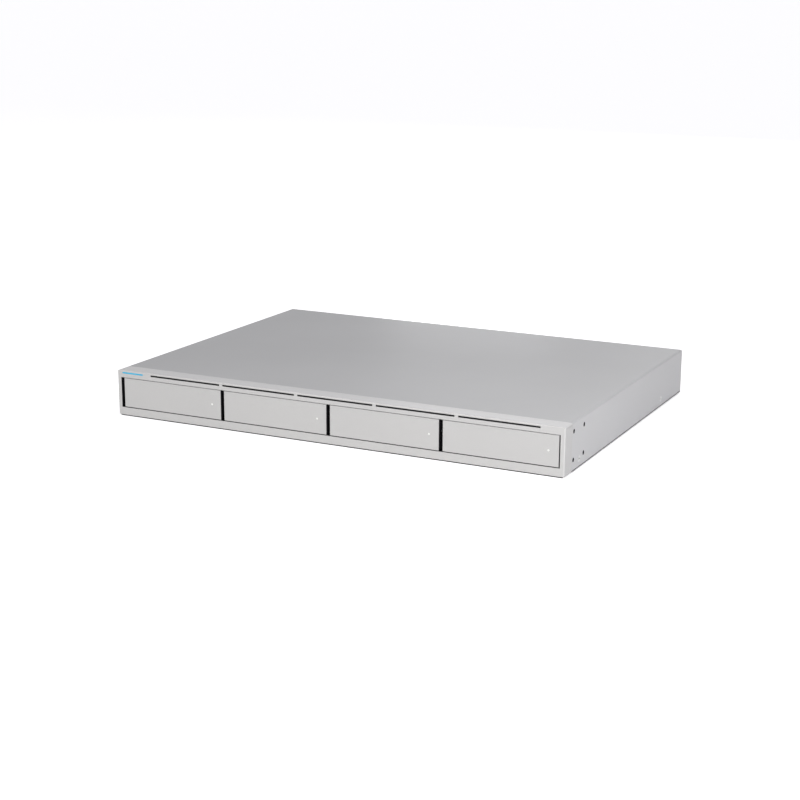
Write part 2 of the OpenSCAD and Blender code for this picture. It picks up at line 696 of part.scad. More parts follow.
// Door: a flush face with a shallow skirt, the hinge barrel and the latch boss behind it
module door() color("gainsboro") {
    barrel_z0 = ear_z0 + ear_t + run_gap;
    barrel_z1 = ear_z1 - ear_t - run_gap;
    difference() {
        union() {
            difference() {
                intersection() {
                    along_z(door_z0, door_z1)
                        rounded_rect([door_x0, 0], [door_x1, skirt_d], [door_edge_r, door_edge_r, 0, 0]);
                    along_x(door_x0, door_x1)
                        rounded_rect([0, door_z0], [skirt_d, door_z1], [door_edge_r, 0, 0, door_edge_r]);
                }
                block([door_x0 + skirt_t, door_t, door_z0 + skirt_t], [door_x1 - skirt_t, skirt_d + cut, door_z1 - skirt_t]);
            }
            translate([pivot.x, pivot.y, barrel_z0]) cylinder(h = barrel_z1 - barrel_z0, r = ear_r - 0.2);
            block([pivot.x - 1.2, door_t - 0.1, barrel_z0], [pivot.x + 1.2, pivot.y, barrel_z1]);
            rod_y(latch_x, door_t - 0.1, boss_back, latch_z, plunger_r);
            for (z = [door_z0 + 8, door_z1 - 8.8])
                block([pivot.x, door_t - 0.1, z], [latch_x - 3, skirt_d - 1.2, z + 0.8]);
        }
        translate([pivot.x, pivot.y, barrel_z0 - cut]) cylinder(h = case_h, r = pin_r + bore_gap);
        rod_y(lens_at, -cut, door_t + cut, door_mid_z, lens_r + press_gap);
    }
}

// Lens in the door, with a flange behind the face
module door_lens() color("white") {
    rod_y(lens_at, 0.05, door_t + 0.1, door_mid_z, lens_r);
    rod_y(lens_at, door_t, door_t + 0.8, door_mid_z, lens_r + 0.8);
}

// Steel pin through the ears and the barrel
module hinge_pin() color("slategray") {
    translate([pivot.x, pivot.y, ear_z0]) cylinder(h = ear_z1 - ear_z0, r = pin_r);
}

// Plunger of the touch latch, with a flat magnet tip
module latch_plunger() color("black") {
    rod_y(latch_x, plunger_front, plunger_front + 0.8, latch_z, plunger_r - 0.3);
    rod_y(latch_x, plunger_front + 0.7, plunger_back, latch_z, plunger_r);
}

// Compression spring between the plunger and the housing's end
module latch_spring() color("silver") {
    y0 = plunger_back + run_gap / 2 + spring_wire_r;
    y1 = latch_end - 1 - run_gap / 2 - spring_wire_r;
    coil_r = plunger_r - spring_wire_r - 0.15;
    steps = spring_turns * 8;
    tube([for (s = [0:steps]) [latch_x + coil_r * cos(s * 45), y0 + (y1 - y0) * s / steps, latch_z + coil_r * sin(s * 45)]],
        spring_wire_r, 6);
}

// Clear strip that brings the status light from the backplane to the door
module light_guide() color("aliceblue") {
    shift = guide_x + guide_w - lens_at - guide_w / 2;
    x0 = guide_x;
    x1 = guide_x + guide_w;
    step = guide_w * 0.414;
    along_z(guide_z0, guide_z0 + guide_h) polygon([
        [x1, backplane_y() - 3], [x1, guide_bend], [x1 - shift, guide_bend - shift], [x1 - shift, guide_front],
        [x0 - shift, guide_front], [x0 - shift, guide_bend - shift + step], [x0, guide_bend + step],
        [x0, backplane_y() - 3]]);
}

// ---------- Electronics behind the backplane ----------

// Main board: processor, memory, coils, capacitors, the plug to the backplane and the reset switch's body
switch_y = wall_y - 4.4;
reset_r = 1;
reset_z = board_top + 3.2;
reset_travel = 0.6;
chip_at = [board_x0 + 46, board_front + board_l * 0.45];
module main_board() color("darkgreen") {
    difference() {
        block([board_x0, board_front, board_z], [board_x1, board_back, board_top]);
        for (s = board_standoffs) translate([s.x, s.y, board_z - cut]) cylinder(h = board_t + 2 * cut, r = 1.6);
    }
    z = board_top;
    x = board_x0;
    block([x + 20, board_front + 2.8, z], [x + 80, board_front + 7, z + 7]);
    block([chip_at.x - 17, chip_at.y - 17, z], [chip_at.x + 17, chip_at.y + 17, z + 2.4]);
    // two memory modules in their sockets
    for (k = [0, 1]) translate([0, board_front + board_l * (0.26 + k * 0.085), z]) {
        block([x + 76, 0, 0], [board_x1 - 3, 7, 3]);
        block([x + 77, 2.5, 2.9], [board_x1 - 4, 4, 27]);
    }
    // coils and capacitors of the processor's supply
    for (k = [0:3]) translate([x + 22 + k * 13, board_front + board_l * 0.1, z]) {
        block([0, 0, 0], [9, 9, 6]);
        translate([4.5, 14, 0]) cylinder(h = 9, r = 3.6);
    }
    for (k = [0:2]) block([x + 84 + k * 19, board_front + board_l * 0.48, z], [x + 98 + k * 19, board_front + board_l * 0.48 + 12, z + 1.4]);
    // the clock's cell in its holder, the flash chip and the network chip
    translate([x + 45, board_back - 26, z]) cylinder(h = 2, r = 11);
    translate([x + 45, board_back - 26, z]) cylinder(h = 3.6, r = 10);
    block([x + 16, board_back - 50, z], [x + 28, board_back - 38, z + 1.1]);
    block([network_x - 6, board_back - 50, z], [network_x + 6, board_back - 38, z + 1.3]);
    block([x + 2, lead_y(0) - 3, z], [x + 7, lead_y(7) + 3, z + 8]);
    difference() {
        block([reset_x - 3, switch_y - 6, z - 0.1], [reset_x + 3, switch_y, reset_z + 3]);
        rod_y(reset_x, switch_y - 4, switch_y + cut, reset_z, reset_r + bore_gap);
    }
}

// Reset button: a thin round rod in the switch's bore, behind its pinhole in the rear wall
module reset_button() color("red") {
    rod_y(reset_x, switch_y - 4 + reset_travel + run_gap, switch_y + 3, reset_z, reset_r);
}

// Finned heatsink on the processor
module processor_heatsink() color("silver") {
    z = board_top + 2.4;
    half = sink_w / 2;
    block([chip_at.x - half, chip_at.y - half, z], [chip_at.x + half, chip_at.y + half, z + 3.5]);
    for (k = [0:11]) translate([chip_at.x - half + k * (2 * half - 1.2) / 11, 0, 0])
        block([0, chip_at.y - half, z + 3], [1.2, chip_at.y + half, z + 27]);
}

// Copper network jack: shielded shell with the plug's stepped socket and its eight springs
jack_size = [16.2, 21, 13.5];
port_back = pan_back_y + 0.4;
module network_jack() color("silver") translate([network_x, port_back, board_top]) difference() {
    block([-jack_size.x / 2, -jack_size.y, 0], [jack_size.x / 2, 0, jack_size.z]);
    block([-5.9, -14, 4.2], [5.9, cut, 11.8]);
    block([-3.2, -14, 2.4], [3.2, cut, 4.3]);
    block([-2, -14, 1], [2, cut, 2.5]);
    for (k = [0:7]) block([-3.9 + k, -12.5, 11.7], [-3.3 + k, -4, 12.3]);
}

// Fibre network cage: thin shell open at the back, with vent holes and the connector's tongue inside
cage_size = [14.3, 47, 9.8];
module fibre_cage() color("silver") translate([fibre_x, port_back, board_top]) {
    difference() {
        block([-cage_size.x / 2, -cage_size.y, 0], [cage_size.x / 2, 0, cage_size.z]);
        block([-cage_size.x / 2 + 0.4, -cage_size.y + 1, 0.4], [cage_size.x / 2 - 0.4, cut, cage_size.z - 0.4]);
        for (a = [-1:1], b = [0:5]) translate([a * 3.8, -10 - b * 5, cage_size.z - cut]) cylinder(h = 2 * cut, r = 1);
    }
    block([-6, -cage_size.y + 0.9, 2], [6, -cage_size.y + 8, 7]);
}

// Mains inlet: flange outside the wall, body through it, deep socket and three blades
inlet_z = 18;
inlet_body = [27, 19.8];
inlet_depth = 20;
blades = [[-7, -1.5], [0, 2.5], [7, -1.5]];
module power_inlet() color("black") translate([inlet_x, pan_back_y, inlet_z]) {
    difference() {
        union() {
            along_y(0, 1) rounded_rect([-15.4, -12], [15.4, 12], [2, 2, 2, 2]);
            along_y(-inlet_depth, 0.1) rounded_rect(-inlet_body / 2, inlet_body / 2, [0.5, 0.5, 4, 4]);
        }
        along_y(-16, 1 + cut) rounded_rect([-12, -7.75], [12, 7.75], [0.5, 0.5, 5, 5]);
    }
    for (p = blades) block([p.x - 1, -16.5, p.y - 2], [p.x + 1, -3, p.y + 2]);
    for (p = blades) block([p.x - 2.4, -inlet_depth - 5, p.y - 0.4], [p.x + 2.4, -inlet_depth + 1, p.y + 0.4]);
}

// Backup power socket: square body with a round socket and its centre pin
backup_size = [14, 11];
backup_z = 16;
module backup_power_jack() color("black") translate([backup_x, pan_back_y, backup_z]) {
    difference() {
        union() {
            along_y(-13, 0.6) rounded_rect(-backup_size / 2, backup_size / 2, [1, 1, 1, 1]);
            along_y(-1.1 - sheet_t, -sheet_t) rounded_rect([-9, -7], [9, 7], [1, 1, 1, 1]);
        }
        rod_y(0, -9, 1 + cut, 0, 3.2);
    }
    rod_y(0, -10, -0.8, 0, 1);
}

// Power supply's sheet case: a folded cover with round air holes in its top and a flange at each side
module power_supply_case() color("lightsteelblue") difference() {
    block([supply_x0, supply_y0, sheet_t], [supply_x1, supply_y1, supply_h]);
    block([supply_x0 + 1, supply_y0 + 1, 0], [supply_x1 - 1, supply_y1 + cut, supply_h - 1]);
    for (a = [0:9], b = [0:8])
        translate([supply_x0 + supply_w * (0.14 + a * 0.08), supply_y0 + supply_l * (0.12 + b * 0.08), supply_h - 2])
            cylinder(h = 3, r = 2.2);
    block([supply_x1 - 2, supply_plug_y - 6, 9], [supply_x1 + cut, supply_plug_y + 18, 22]);
}

// Power supply's board with the transformer, the storage capacitor, the coil and two cooling plates
module power_supply_board() color("darkolivegreen") {
    x = supply_x0;
    y = supply_y0;
    z = board_top;
    difference() {
        block([x + 3, y + 3, board_z], [supply_x1 - 3, supply_y1 - 2, board_top]);
        for (s = board_standoffs) translate([s.x, s.y, board_z - cut]) cylinder(h = board_t + 2 * cut, r = 1.6);
    }
    lay = supply_l / 112;
    block([x + 36, y + 30 * lay, z], [supply_x1 - 34, y + 58 * lay, z + 22]);
    translate([x + 26, y + 76 * lay, z]) cylinder(h = 25, r = 11 * lay);
    translate([supply_x1 - 26, y + 82 * lay, z]) cylinder(h = 11, r = 9 * lay);
    for (k = [x + 14, supply_x1 - 28]) block([k, y + 8 * lay, z], [k + 3, y + 50 * lay, z + 24]);
    block([supply_x1 - 14, supply_plug_y - 3, z], [supply_x1 - 6, supply_plug_y + 15, z + 8]);
    block([inlet_x - 12, supply_y1 - 10, z], [inlet_x + 12, supply_y1 - 3, z + 9]);
}
supply_plug_y = supply_y0 + supply_l * 0.4;

// Pan-head screws that hold the two boards to their standoffs
module board_screws() color("silver") for (s = board_standoffs) translate([s.x, s.y, 0]) difference() {
    union() {
        translate([0, 0, board_z - 2.8]) cylinder(h = board_t + 3, r = 1.15);
        translate([0, 0, board_top]) cylinder(h = 1.8, r = 2.7);
    }
    for (a = [0, 90]) rotate(a) block([-1.6, -0.3, board_top + 0.9], [1.6, 0.3, board_top + 3]);
}

// ---------- Fans ----------

fan_screw_r = 1.8;
fan_head_r = 3.2;
hub_r = 11;
shaft_r = 1.5;
hub_wall = 1;
blade_r = fan_bore_r - 0.8;
blade_bend = 13;    // radius of a blade's camber
rotor_front = 3.5;
rotor_back = fan_depth - 4.5;

// Square fan frame: round tunnel, three spokes at the back and the stator with its shaft
module fan_frame(k) color("dimgray") translate([fan_at(k), fan_front_y, fan_z]) {
    half = fan_size / 2;
    difference() {
        along_y(0, fan_depth) rounded_rect([-half, -half], [half, half], [3, 3, 3, 3]);
        rod_y(0, -cut, fan_depth + cut, 0, fan_bore_r);
        for (a = [-1, 1], b = [-1, 1]) rod_y(a * fan_hole, -cut, fan_depth + cut, b * fan_hole, fan_screw_r + press_gap);
    }
    for (a = [90, 210, 330]) rotate([0, a, 0]) block([hub_r - 1, fan_depth - 3, -1.3], [fan_bore_r + 0.3, fan_depth - 0.3, 1.3]);
    rod_y(0, fan_depth - 4, fan_depth - 0.3, 0, hub_r);
    rod_y(0, rotor_front + 4, fan_depth - 3.9, 0, hub_r - hub_wall - 2);
    rod_y(0, rotor_front + 1.2, rotor_front + 4.1, 0, shaft_r);
}

// Fan rotor: a cup that turns on the shaft, with its leaning blades
module fan_rotor(k) color("black") translate([fan_at(k), fan_front_y, fan_z]) {
    difference() {
        rod_y(0, rotor_front, rotor_back, 0, hub_r);
        rod_y(0, rotor_front + 3.5, rotor_back + cut, 0, hub_r - hub_wall);
        rod_y(0, rotor_front + 1, rotor_front + 4, 0, shaft_r + bore_gap);
    }
    intersection() {
        difference() {
            for (b = [0:blade_count - 1]) rotate([0, b * 360 / blade_count, 0])
                translate([0, (rotor_front + rotor_back) / 2, 0]) rotate([-36, 0, 0]) along_x(hub_r - 0.4, fan_bore_r)
                    translate([0, -blade_bend]) intersection() {
                        difference() {
                            circle(blade_bend + 0.5);
                            circle(blade_bend - 0.5);
                        }
                        translate([-8, 0]) square([16, 2 * blade_bend]);
                    }
            rod_y(0, -cut, fan_depth + cut, 0, hub_r - 0.5);
        }
        rod_y(0, rotor_front + 0.5, rotor_back - 0.5, 0, blade_r);
    }
}

// Self-tapping screws through the rear wall into the fan frames
module fan_screws() color("silver") for (k = [1:3], a = [-1, 1], b = [-1, 1])
    translate([fan_at(k) + a * fan_hole, 0, fan_z + b * fan_hole]) difference() {
        union() {
            rod_y(0, pan_back_y - 8, pan_back_y + 0.1, 0, fan_screw_r);
            rod_y(0, pan_back_y, pan_back_y + 0.9, 0, fan_head_r);
        }
        for (t = [0, 90]) rotate([0, t, 0]) block([-1.8, pan_back_y + 0.4, -0.35], [1.8, pan_back_y + 2, 0.35]);
    }

// ---------- Wiring ----------

// Leads from the status board, the supply, the backup socket and the fans to the main board's socket,
// side by side, and the three mains leads from the inlet to the supply
lead_r = 1;
function lead_y(n) = board_front + board_l * 0.35 + n * 3.5;
function to_board(n) = [[board_x0 - 26, lead_y(n), sheet_t + lead_r + 0.2], [board_x0 - 9, lead_y(n), board_top + 6],
    [board_x0 - 3, lead_y(n), board_top + 14], [board_x0 + 4.5, lead_y(n), board_top + 14],
    [board_x0 + 4.5, lead_y(n), board_top + 8.1]];
module wiring() color("black") {
    floor_z = sheet_t + lead_r + 0.2;
    for (p = blades) tube(soften([
        [inlet_x + p.x, pan_back_y - inlet_depth - 5.1, inlet_z + p.y], [inlet_x + p.x, supply_y1 - 1, inlet_z + p.y + 1],
        [inlet_x + p.x, supply_y1 - 6.5, inlet_z + 6], [inlet_x + p.x, supply_y1 - 6.5, board_top + 9.1]]), lead_r, 6);
    top_z = opening_top_z + sleeve_t + 1.9;
    plug_x = light_start - case_x + light_l + 3;
    tube(soften(concat([[plug_x, front_y + 20.1, top_z], [plug_x, front_y + 30, top_z], [0, front_y + 44, top_z],
        [board_x0 - 12, front_y + 60, top_z], [board_x0 - 12, front_y + backplane_y() + 6, top_z]],
        [for (k = [2:4]) to_board(0)[k]])), lead_r * 0.8, 6);
    for (n = [1:3]) tube(soften(concat([[supply_x1 - 10, supply_plug_y - 1.5 + n * 4, board_top + 8.1],
        [supply_x1 - 10, supply_plug_y - 1.5 + n * 4, board_top + 12], [supply_x1 + 5, supply_plug_y - 1.5 + n * 4, board_top + 11],
        [supply_x1 + 22, lead_y(n), floor_z]], to_board(n))), lead_r, 6);
    tube(soften(concat([[backup_x, pan_back_y - 13.1, backup_z], [backup_x, pan_back_y - 20, backup_z],
        [backup_x + 44, pan_back_y - 24, floor_z], [backup_x + 56, lead_y(4), floor_z]], to_board(4))), lead_r, 6);
    for (k = [1:3]) tube(soften(concat([[fan_at(k) + 15, fan_front_y - 0.1, fan_z - 15],
        [fan_at(k) + 15, fan_front_y - 7, fan_z - 15], [fan_at(k) + 11, lead_y(4 + k), floor_z]],
        fan_at(k) + 11 < board_x0 - 28 ? to_board(4 + k) : [for (m = [1:4]) to_board(4 + k)[m]])), lead_r, 6);
}

// ---------- What is drawn ----------

chassis_base();
top_cover();
front_bezel();
status_light_bar();
status_board();
drive_cage();
backplane_board();
drive_sockets();
main_board();
processor_heatsink();
network_jack();
fibre_cage();
power_inlet();
backup_power_jack();
power_supply_case();
power_supply_board();
rack_nuts();
case_screws();
board_screws();
fan_screws();
wiring();
reset_button();
for (k = [1:3]) {
    fan_frame(k);
    fan_rotor(k);
}
for (k = [1:bay_count]) {
    in_bay(k) tray();
    in_bay(k) drive();
    in_bay(k) door();
    in_bay(k) door_lens();
    in_bay(k) hinge_pin();
    in_bay(k) latch_plunger();
    in_bay(k) latch_spring();
    in_bay(k) light_guide();
}
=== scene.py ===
import math

import bmesh
import bpy
from mathutils import Matrix, Vector


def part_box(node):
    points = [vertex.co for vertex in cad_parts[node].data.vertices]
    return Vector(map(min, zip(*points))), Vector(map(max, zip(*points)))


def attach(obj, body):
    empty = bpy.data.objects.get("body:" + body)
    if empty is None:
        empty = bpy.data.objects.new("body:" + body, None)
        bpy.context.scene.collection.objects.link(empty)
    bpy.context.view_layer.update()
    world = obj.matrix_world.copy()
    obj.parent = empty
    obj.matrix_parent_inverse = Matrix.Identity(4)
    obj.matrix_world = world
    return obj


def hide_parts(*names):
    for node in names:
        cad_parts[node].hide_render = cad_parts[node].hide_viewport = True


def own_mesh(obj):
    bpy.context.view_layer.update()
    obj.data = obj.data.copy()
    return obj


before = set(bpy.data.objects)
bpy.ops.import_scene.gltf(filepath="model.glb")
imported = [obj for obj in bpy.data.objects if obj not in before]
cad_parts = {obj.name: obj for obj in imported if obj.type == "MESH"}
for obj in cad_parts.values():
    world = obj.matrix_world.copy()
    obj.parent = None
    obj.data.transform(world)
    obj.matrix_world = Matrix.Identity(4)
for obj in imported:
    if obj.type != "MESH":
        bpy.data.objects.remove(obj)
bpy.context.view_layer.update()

# ---------------------------------------------------------------------------
# Camera and studio.
# The unit is seen from its front right and a little above, with a longish lens. It lies on a white
# table that sweeps up into white walls, in the light of soft boxes in front, above and behind.

scene = bpy.context.scene
scene.view_settings.view_transform = "Standard"
camera = bpy.data.objects.new("camera", bpy.data.cameras.new("camera"))
scene.collection.objects.link(camera)
yaw, pitch, roll = math.radians(26.12), math.radians(14.51), math.radians(0.31)
looking = Vector((-math.sin(yaw) * math.cos(pitch), math.cos(yaw) * math.cos(pitch), -math.sin(pitch)))
right = looking.cross(Vector((0, 0, 1))).normalized()
up = right.cross(looking)
right, up = right * math.cos(roll) + up * math.sin(roll), up * math.cos(roll) - right * math.sin(roll)
camera.matrix_world = Matrix((right, up, -looking)).transposed().to_4x4()
camera.location = (0.664, -1.3719, 0.3977)
camera.data.lens, camera.data.sensor_width = 73.6, 36
camera.data.clip_start, camera.data.clip_end = 0.05, 50
scene.camera = camera


def linear(code):
    """An sRGB hex colour as linear values."""
    parts = [int(code[i : i + 2], 16) / 255 for i in (1, 3, 5)]
    return tuple(p / 12.92 if p <= 0.04045 else ((p + 0.055) / 1.055) ** 2.4 for p in parts) + (1.0,)


def add(material, kind, links=None, **settings):
    """Adds a node. Settings name its properties or sockets, and links name the sockets that other nodes feed."""
    node = material.node_tree.nodes.new(kind)
    for name, value in settings.items():
        if hasattr(node, name):
            setattr(node, name, value)
    for name, value in settings.items():
        socket = name.replace("_", " ")
        if not hasattr(node, name):
            node.inputs[socket].default_value = value
    for name, source in (links or {}).items():
        material.node_tree.links.new(source, node.inputs[name])
    return node


def finish_named(name):
    """An empty material with its shader, which each finish then fills in."""
    material = bpy.data.materials.new(name)
    material.use_nodes = True
    shader = material.node_tree.nodes["Principled BSDF"]
    return material, shader


def join(material, source, target):
    """Links one socket to another."""
    material.node_tree.links.new(source, target)


table_reach = 80  # metres, so that the table runs on past every view
floor_mesh = bpy.data.meshes.new("table_top")
corners = [(x * table_reach, y * table_reach, 0) for x, y in ((-1, -1), (1, -1), (1, 1), (-1, 1))]
floor_mesh.from_pydata(corners, [], [(0, 1, 2, 3)])
floor = bpy.data.objects.new("table_top", floor_mesh)
scene.collection.objects.link(floor)
table_white, shader = finish_named("matt white studio table")
shader.inputs["Base Color"].default_value = linear("#F6F6F6")
shader.inputs["Roughness"].default_value = 0.85
shader.inputs["Specular IOR Level"].default_value = 0.1
shader.inputs["Emission Color"].default_value = linear("#FFFFFF")
shader.inputs["Emission Strength"].default_value = 0.49
floor_mesh.materials.append(table_white)

# the table sweeps up into white walls, the one on the right in shade, under a slightly dimmer ceiling
world = bpy.data.worlds.new("studio")
world.use_nodes = True
axes = add(world, "ShaderNodeSeparateXYZ", {"Vector": add(world, "ShaderNodeTexCoord").outputs["Generated"]})
walls = add(world, "ShaderNodeValToRGB", {"Fac": axes.outputs["Z"]})
walls.color_ramp.elements[0].position, walls.color_ramp.elements[0].color = 0.1, linear("#DADADC")
walls.color_ramp.elements[1].position, walls.color_ramp.elements[1].color = 0.8, linear("#D6D6D8")
shade = add(world, "ShaderNodeValToRGB", {"Fac": axes.outputs["X"]})
shade.color_ramp.elements[0].position, shade.color_ramp.elements[0].color = 0.0, linear("#FFFFFF")
shade.color_ramp.elements[1].position, shade.color_ramp.elements[1].color = 0.7, linear("#747080")
room = add(world, "ShaderNodeMix", data_type="RGBA", blend_type="MULTIPLY")
room.inputs["Factor"].default_value = 1.0
join(world, walls.outputs["Color"], room.inputs["A"])
join(world, shade.outputs["Color"], room.inputs["B"])
over_table = add(world, "ShaderNodeMapRange", {"Value": axes.outputs["Z"]}, From_Min=0.1, From_Max=0.16)
sweep = add(world, "ShaderNodeMix", {"Factor": over_table.outputs["Result"]}, data_type="RGBA")
sweep.inputs["A"].default_value = linear("#FFFFFF")
join(world, room.outputs["Result"], sweep.inputs["B"])
join(world, sweep.outputs["Result"], world.node_tree.nodes["Background"].inputs["Color"])
scene.world = world


def soft_box(name, place, aim, size, power, shade="#FFFFFF"):
    """A soft rectangular lamp that points at a spot. Places and sizes are in metres, the power in watts."""
    lamp = bpy.data.lights.new(name, "AREA")
    lamp.shape = "RECTANGLE"
    lamp.size, lamp.size_y = size
    lamp.energy = power
    lamp.color = linear(shade)[:3]
    box = bpy.data.objects.new(name, lamp)
    scene.collection.objects.link(box)
    box.location = place
    box.visible_camera = False
    box.rotation_euler = (Vector(aim) - Vector(place)).to_track_quat("-Z", "Y").to_euler()


soft_box("front box", (0.22, -1.4, 0.5), (0.05, -0.16, 0.02), (0.8, 0.5), 7.0)
soft_box("right box", (1.2, -0.85, 0.22), (0.22, -0.1, 0.02), (0.25, 0.3), 0.5, "#F0E8FF")
soft_box("high box", (0.6, -0.5, 0.6), (0.1, -0.05, 0.04), (0.3, 0.3), 2.5)
soft_box("back box", (0.15, 2.6, 0.8), (0.1, -0.1, 0.04), (1.6, 0.6), 11)
# a narrow strip close behind the unit, which lays a soft light patch on the back of the cover
soft_box("low back box", (-0.13, 0.45, 0.11), (0.0, 0.1, 0.05), (0.2, 0.04), 0.13)

# ---------------------------------------------------------------------------
# Pan and cover.
# Both are bent from 1 mm sheet steel and powder coated in a satin silver grey, with the shallow ripple that powder
# leaves as it melts. Dark grey is painted in as shade on the walls of the rack-ear holes, along the lowest edges and
# under the case.


def coat(material, *names):
    """Gives CAD nodes a finish."""
    for name in names:
        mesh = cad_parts[name].data
        mesh.materials.clear()
        mesh.materials.append(material)


def inside(material, place, low, high):
    """1 in a box given by two corners in metres, else 0."""
    axes = add(material, "ShaderNodeSeparateXYZ", {"Vector": place})
    answer = None
    for axis, bottom, top in zip("XYZ", low, high):
        for edge, side in ((bottom, "GREATER_THAN"), (top, "LESS_THAN")):
            test = add(material, "ShaderNodeMath", {0: axes.outputs[axis]}, operation=side)
            test.inputs[1].default_value = edge
            if answer is not None:
                test = add(material, "ShaderNodeMath", {0: test.outputs[0], 1: answer}, operation="MULTIPLY")
            answer = test.outputs[0]
    return answer


def spot(node, low, high):
    """A box on a node, whose corners are measured from the node's own lowest corner."""
    corner = Vector(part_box(node)[0])
    return corner + Vector(low), corner + Vector(high)


def powder_coat(name, shade, deep, shade_painted_below, shade_box_low, shade_box_high, ripple_mm=1.1, cloud_mm=167):
    """Satin powder with a fine ripple and a cloudy change of tone. Dark grey is painted in as shade below a height,
    given in metres, and in a box."""
    material, shader = finish_named(name)
    place = add(material, "ShaderNodeTexCoord").outputs["Object"]
    cloud = add(material, "ShaderNodeTexNoise", {"Vector": place}, Scale=1000 / cloud_mm, Detail=3.0, Roughness=0.5)
    tone = add(material, "ShaderNodeValToRGB", {"Fac": cloud.outputs["Fac"]})
    tone.color_ramp.elements[0].position, tone.color_ramp.elements[0].color = 0.3, linear(deep)
    tone.color_ramp.elements[1].position, tone.color_ramp.elements[1].color = 0.7, linear(shade)
    height = add(material, "ShaderNodeSeparateXYZ", {"Vector": place}).outputs["Z"]
    low = add(material, "ShaderNodeMath", {0: height}, operation="LESS_THAN")
    low.inputs[1].default_value = shade_painted_below
    in_shade_box = inside(material, place, shade_box_low, shade_box_high)
    painted_shade = add(material, "ShaderNodeMath", {0: low.outputs[0], 1: in_shade_box}, operation="MAXIMUM")
    # dark grey painted in as shade below the height and in the box
    coat_with_shade = add(material, "ShaderNodeMix", {"Factor": painted_shade.outputs[0]}, data_type="RGBA")
    join(material, tone.outputs["Color"], coat_with_shade.inputs["A"])
    coat_with_shade.inputs["B"].default_value = linear("#262628")
    join(material, coat_with_shade.outputs["Result"], shader.inputs["Base Color"])
    ripple = add(material, "ShaderNodeTexNoise", {"Vector": place}, Scale=1000 / ripple_mm, Detail=2.0)
    bump = add(material, "ShaderNodeBump", {"Height": ripple.outputs["Fac"]}, Strength=0.08, Distance=0.0001)
    join(material, bump.outputs["Normal"], shader.inputs["Normal"])
    gloss = add(material, "ShaderNodeMapRange", {"Value": ripple.outputs["Fac"]}, To_Min=0.5, To_Max=0.6)
    join(material, gloss.outputs["Result"], shader.inputs["Roughness"])
    shader.inputs["Specular IOR Level"].default_value = 0.35
    return material


# a box round the rack-ear holes that ends 0.1 mm inside the outer faces, so only the holes' walls get the painted
# shade
case_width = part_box("top_cover")[1][0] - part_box("top_cover")[0][0]
ear_shade_low, ear_shade_high = spot("top_cover", (0.0001, -0.00005, 0.003), (case_width - 0.0001, 0.03275, 0.0395))
# the heights are those of the strips of painted shade along each part's lowest edge
for node, name, painted_shade_height in (("top_cover", "silver-grey powder coat on sheet steel", 0.0010),
                                  ("chassis_base", "silver-grey powder coat under the case", 0.0009)):
    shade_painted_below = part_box(node)[0][2] + painted_shade_height
    coat(powder_coat(name, "#B7B7B7", "#B2B2B2", shade_painted_below, ear_shade_low, ear_shade_high), node)
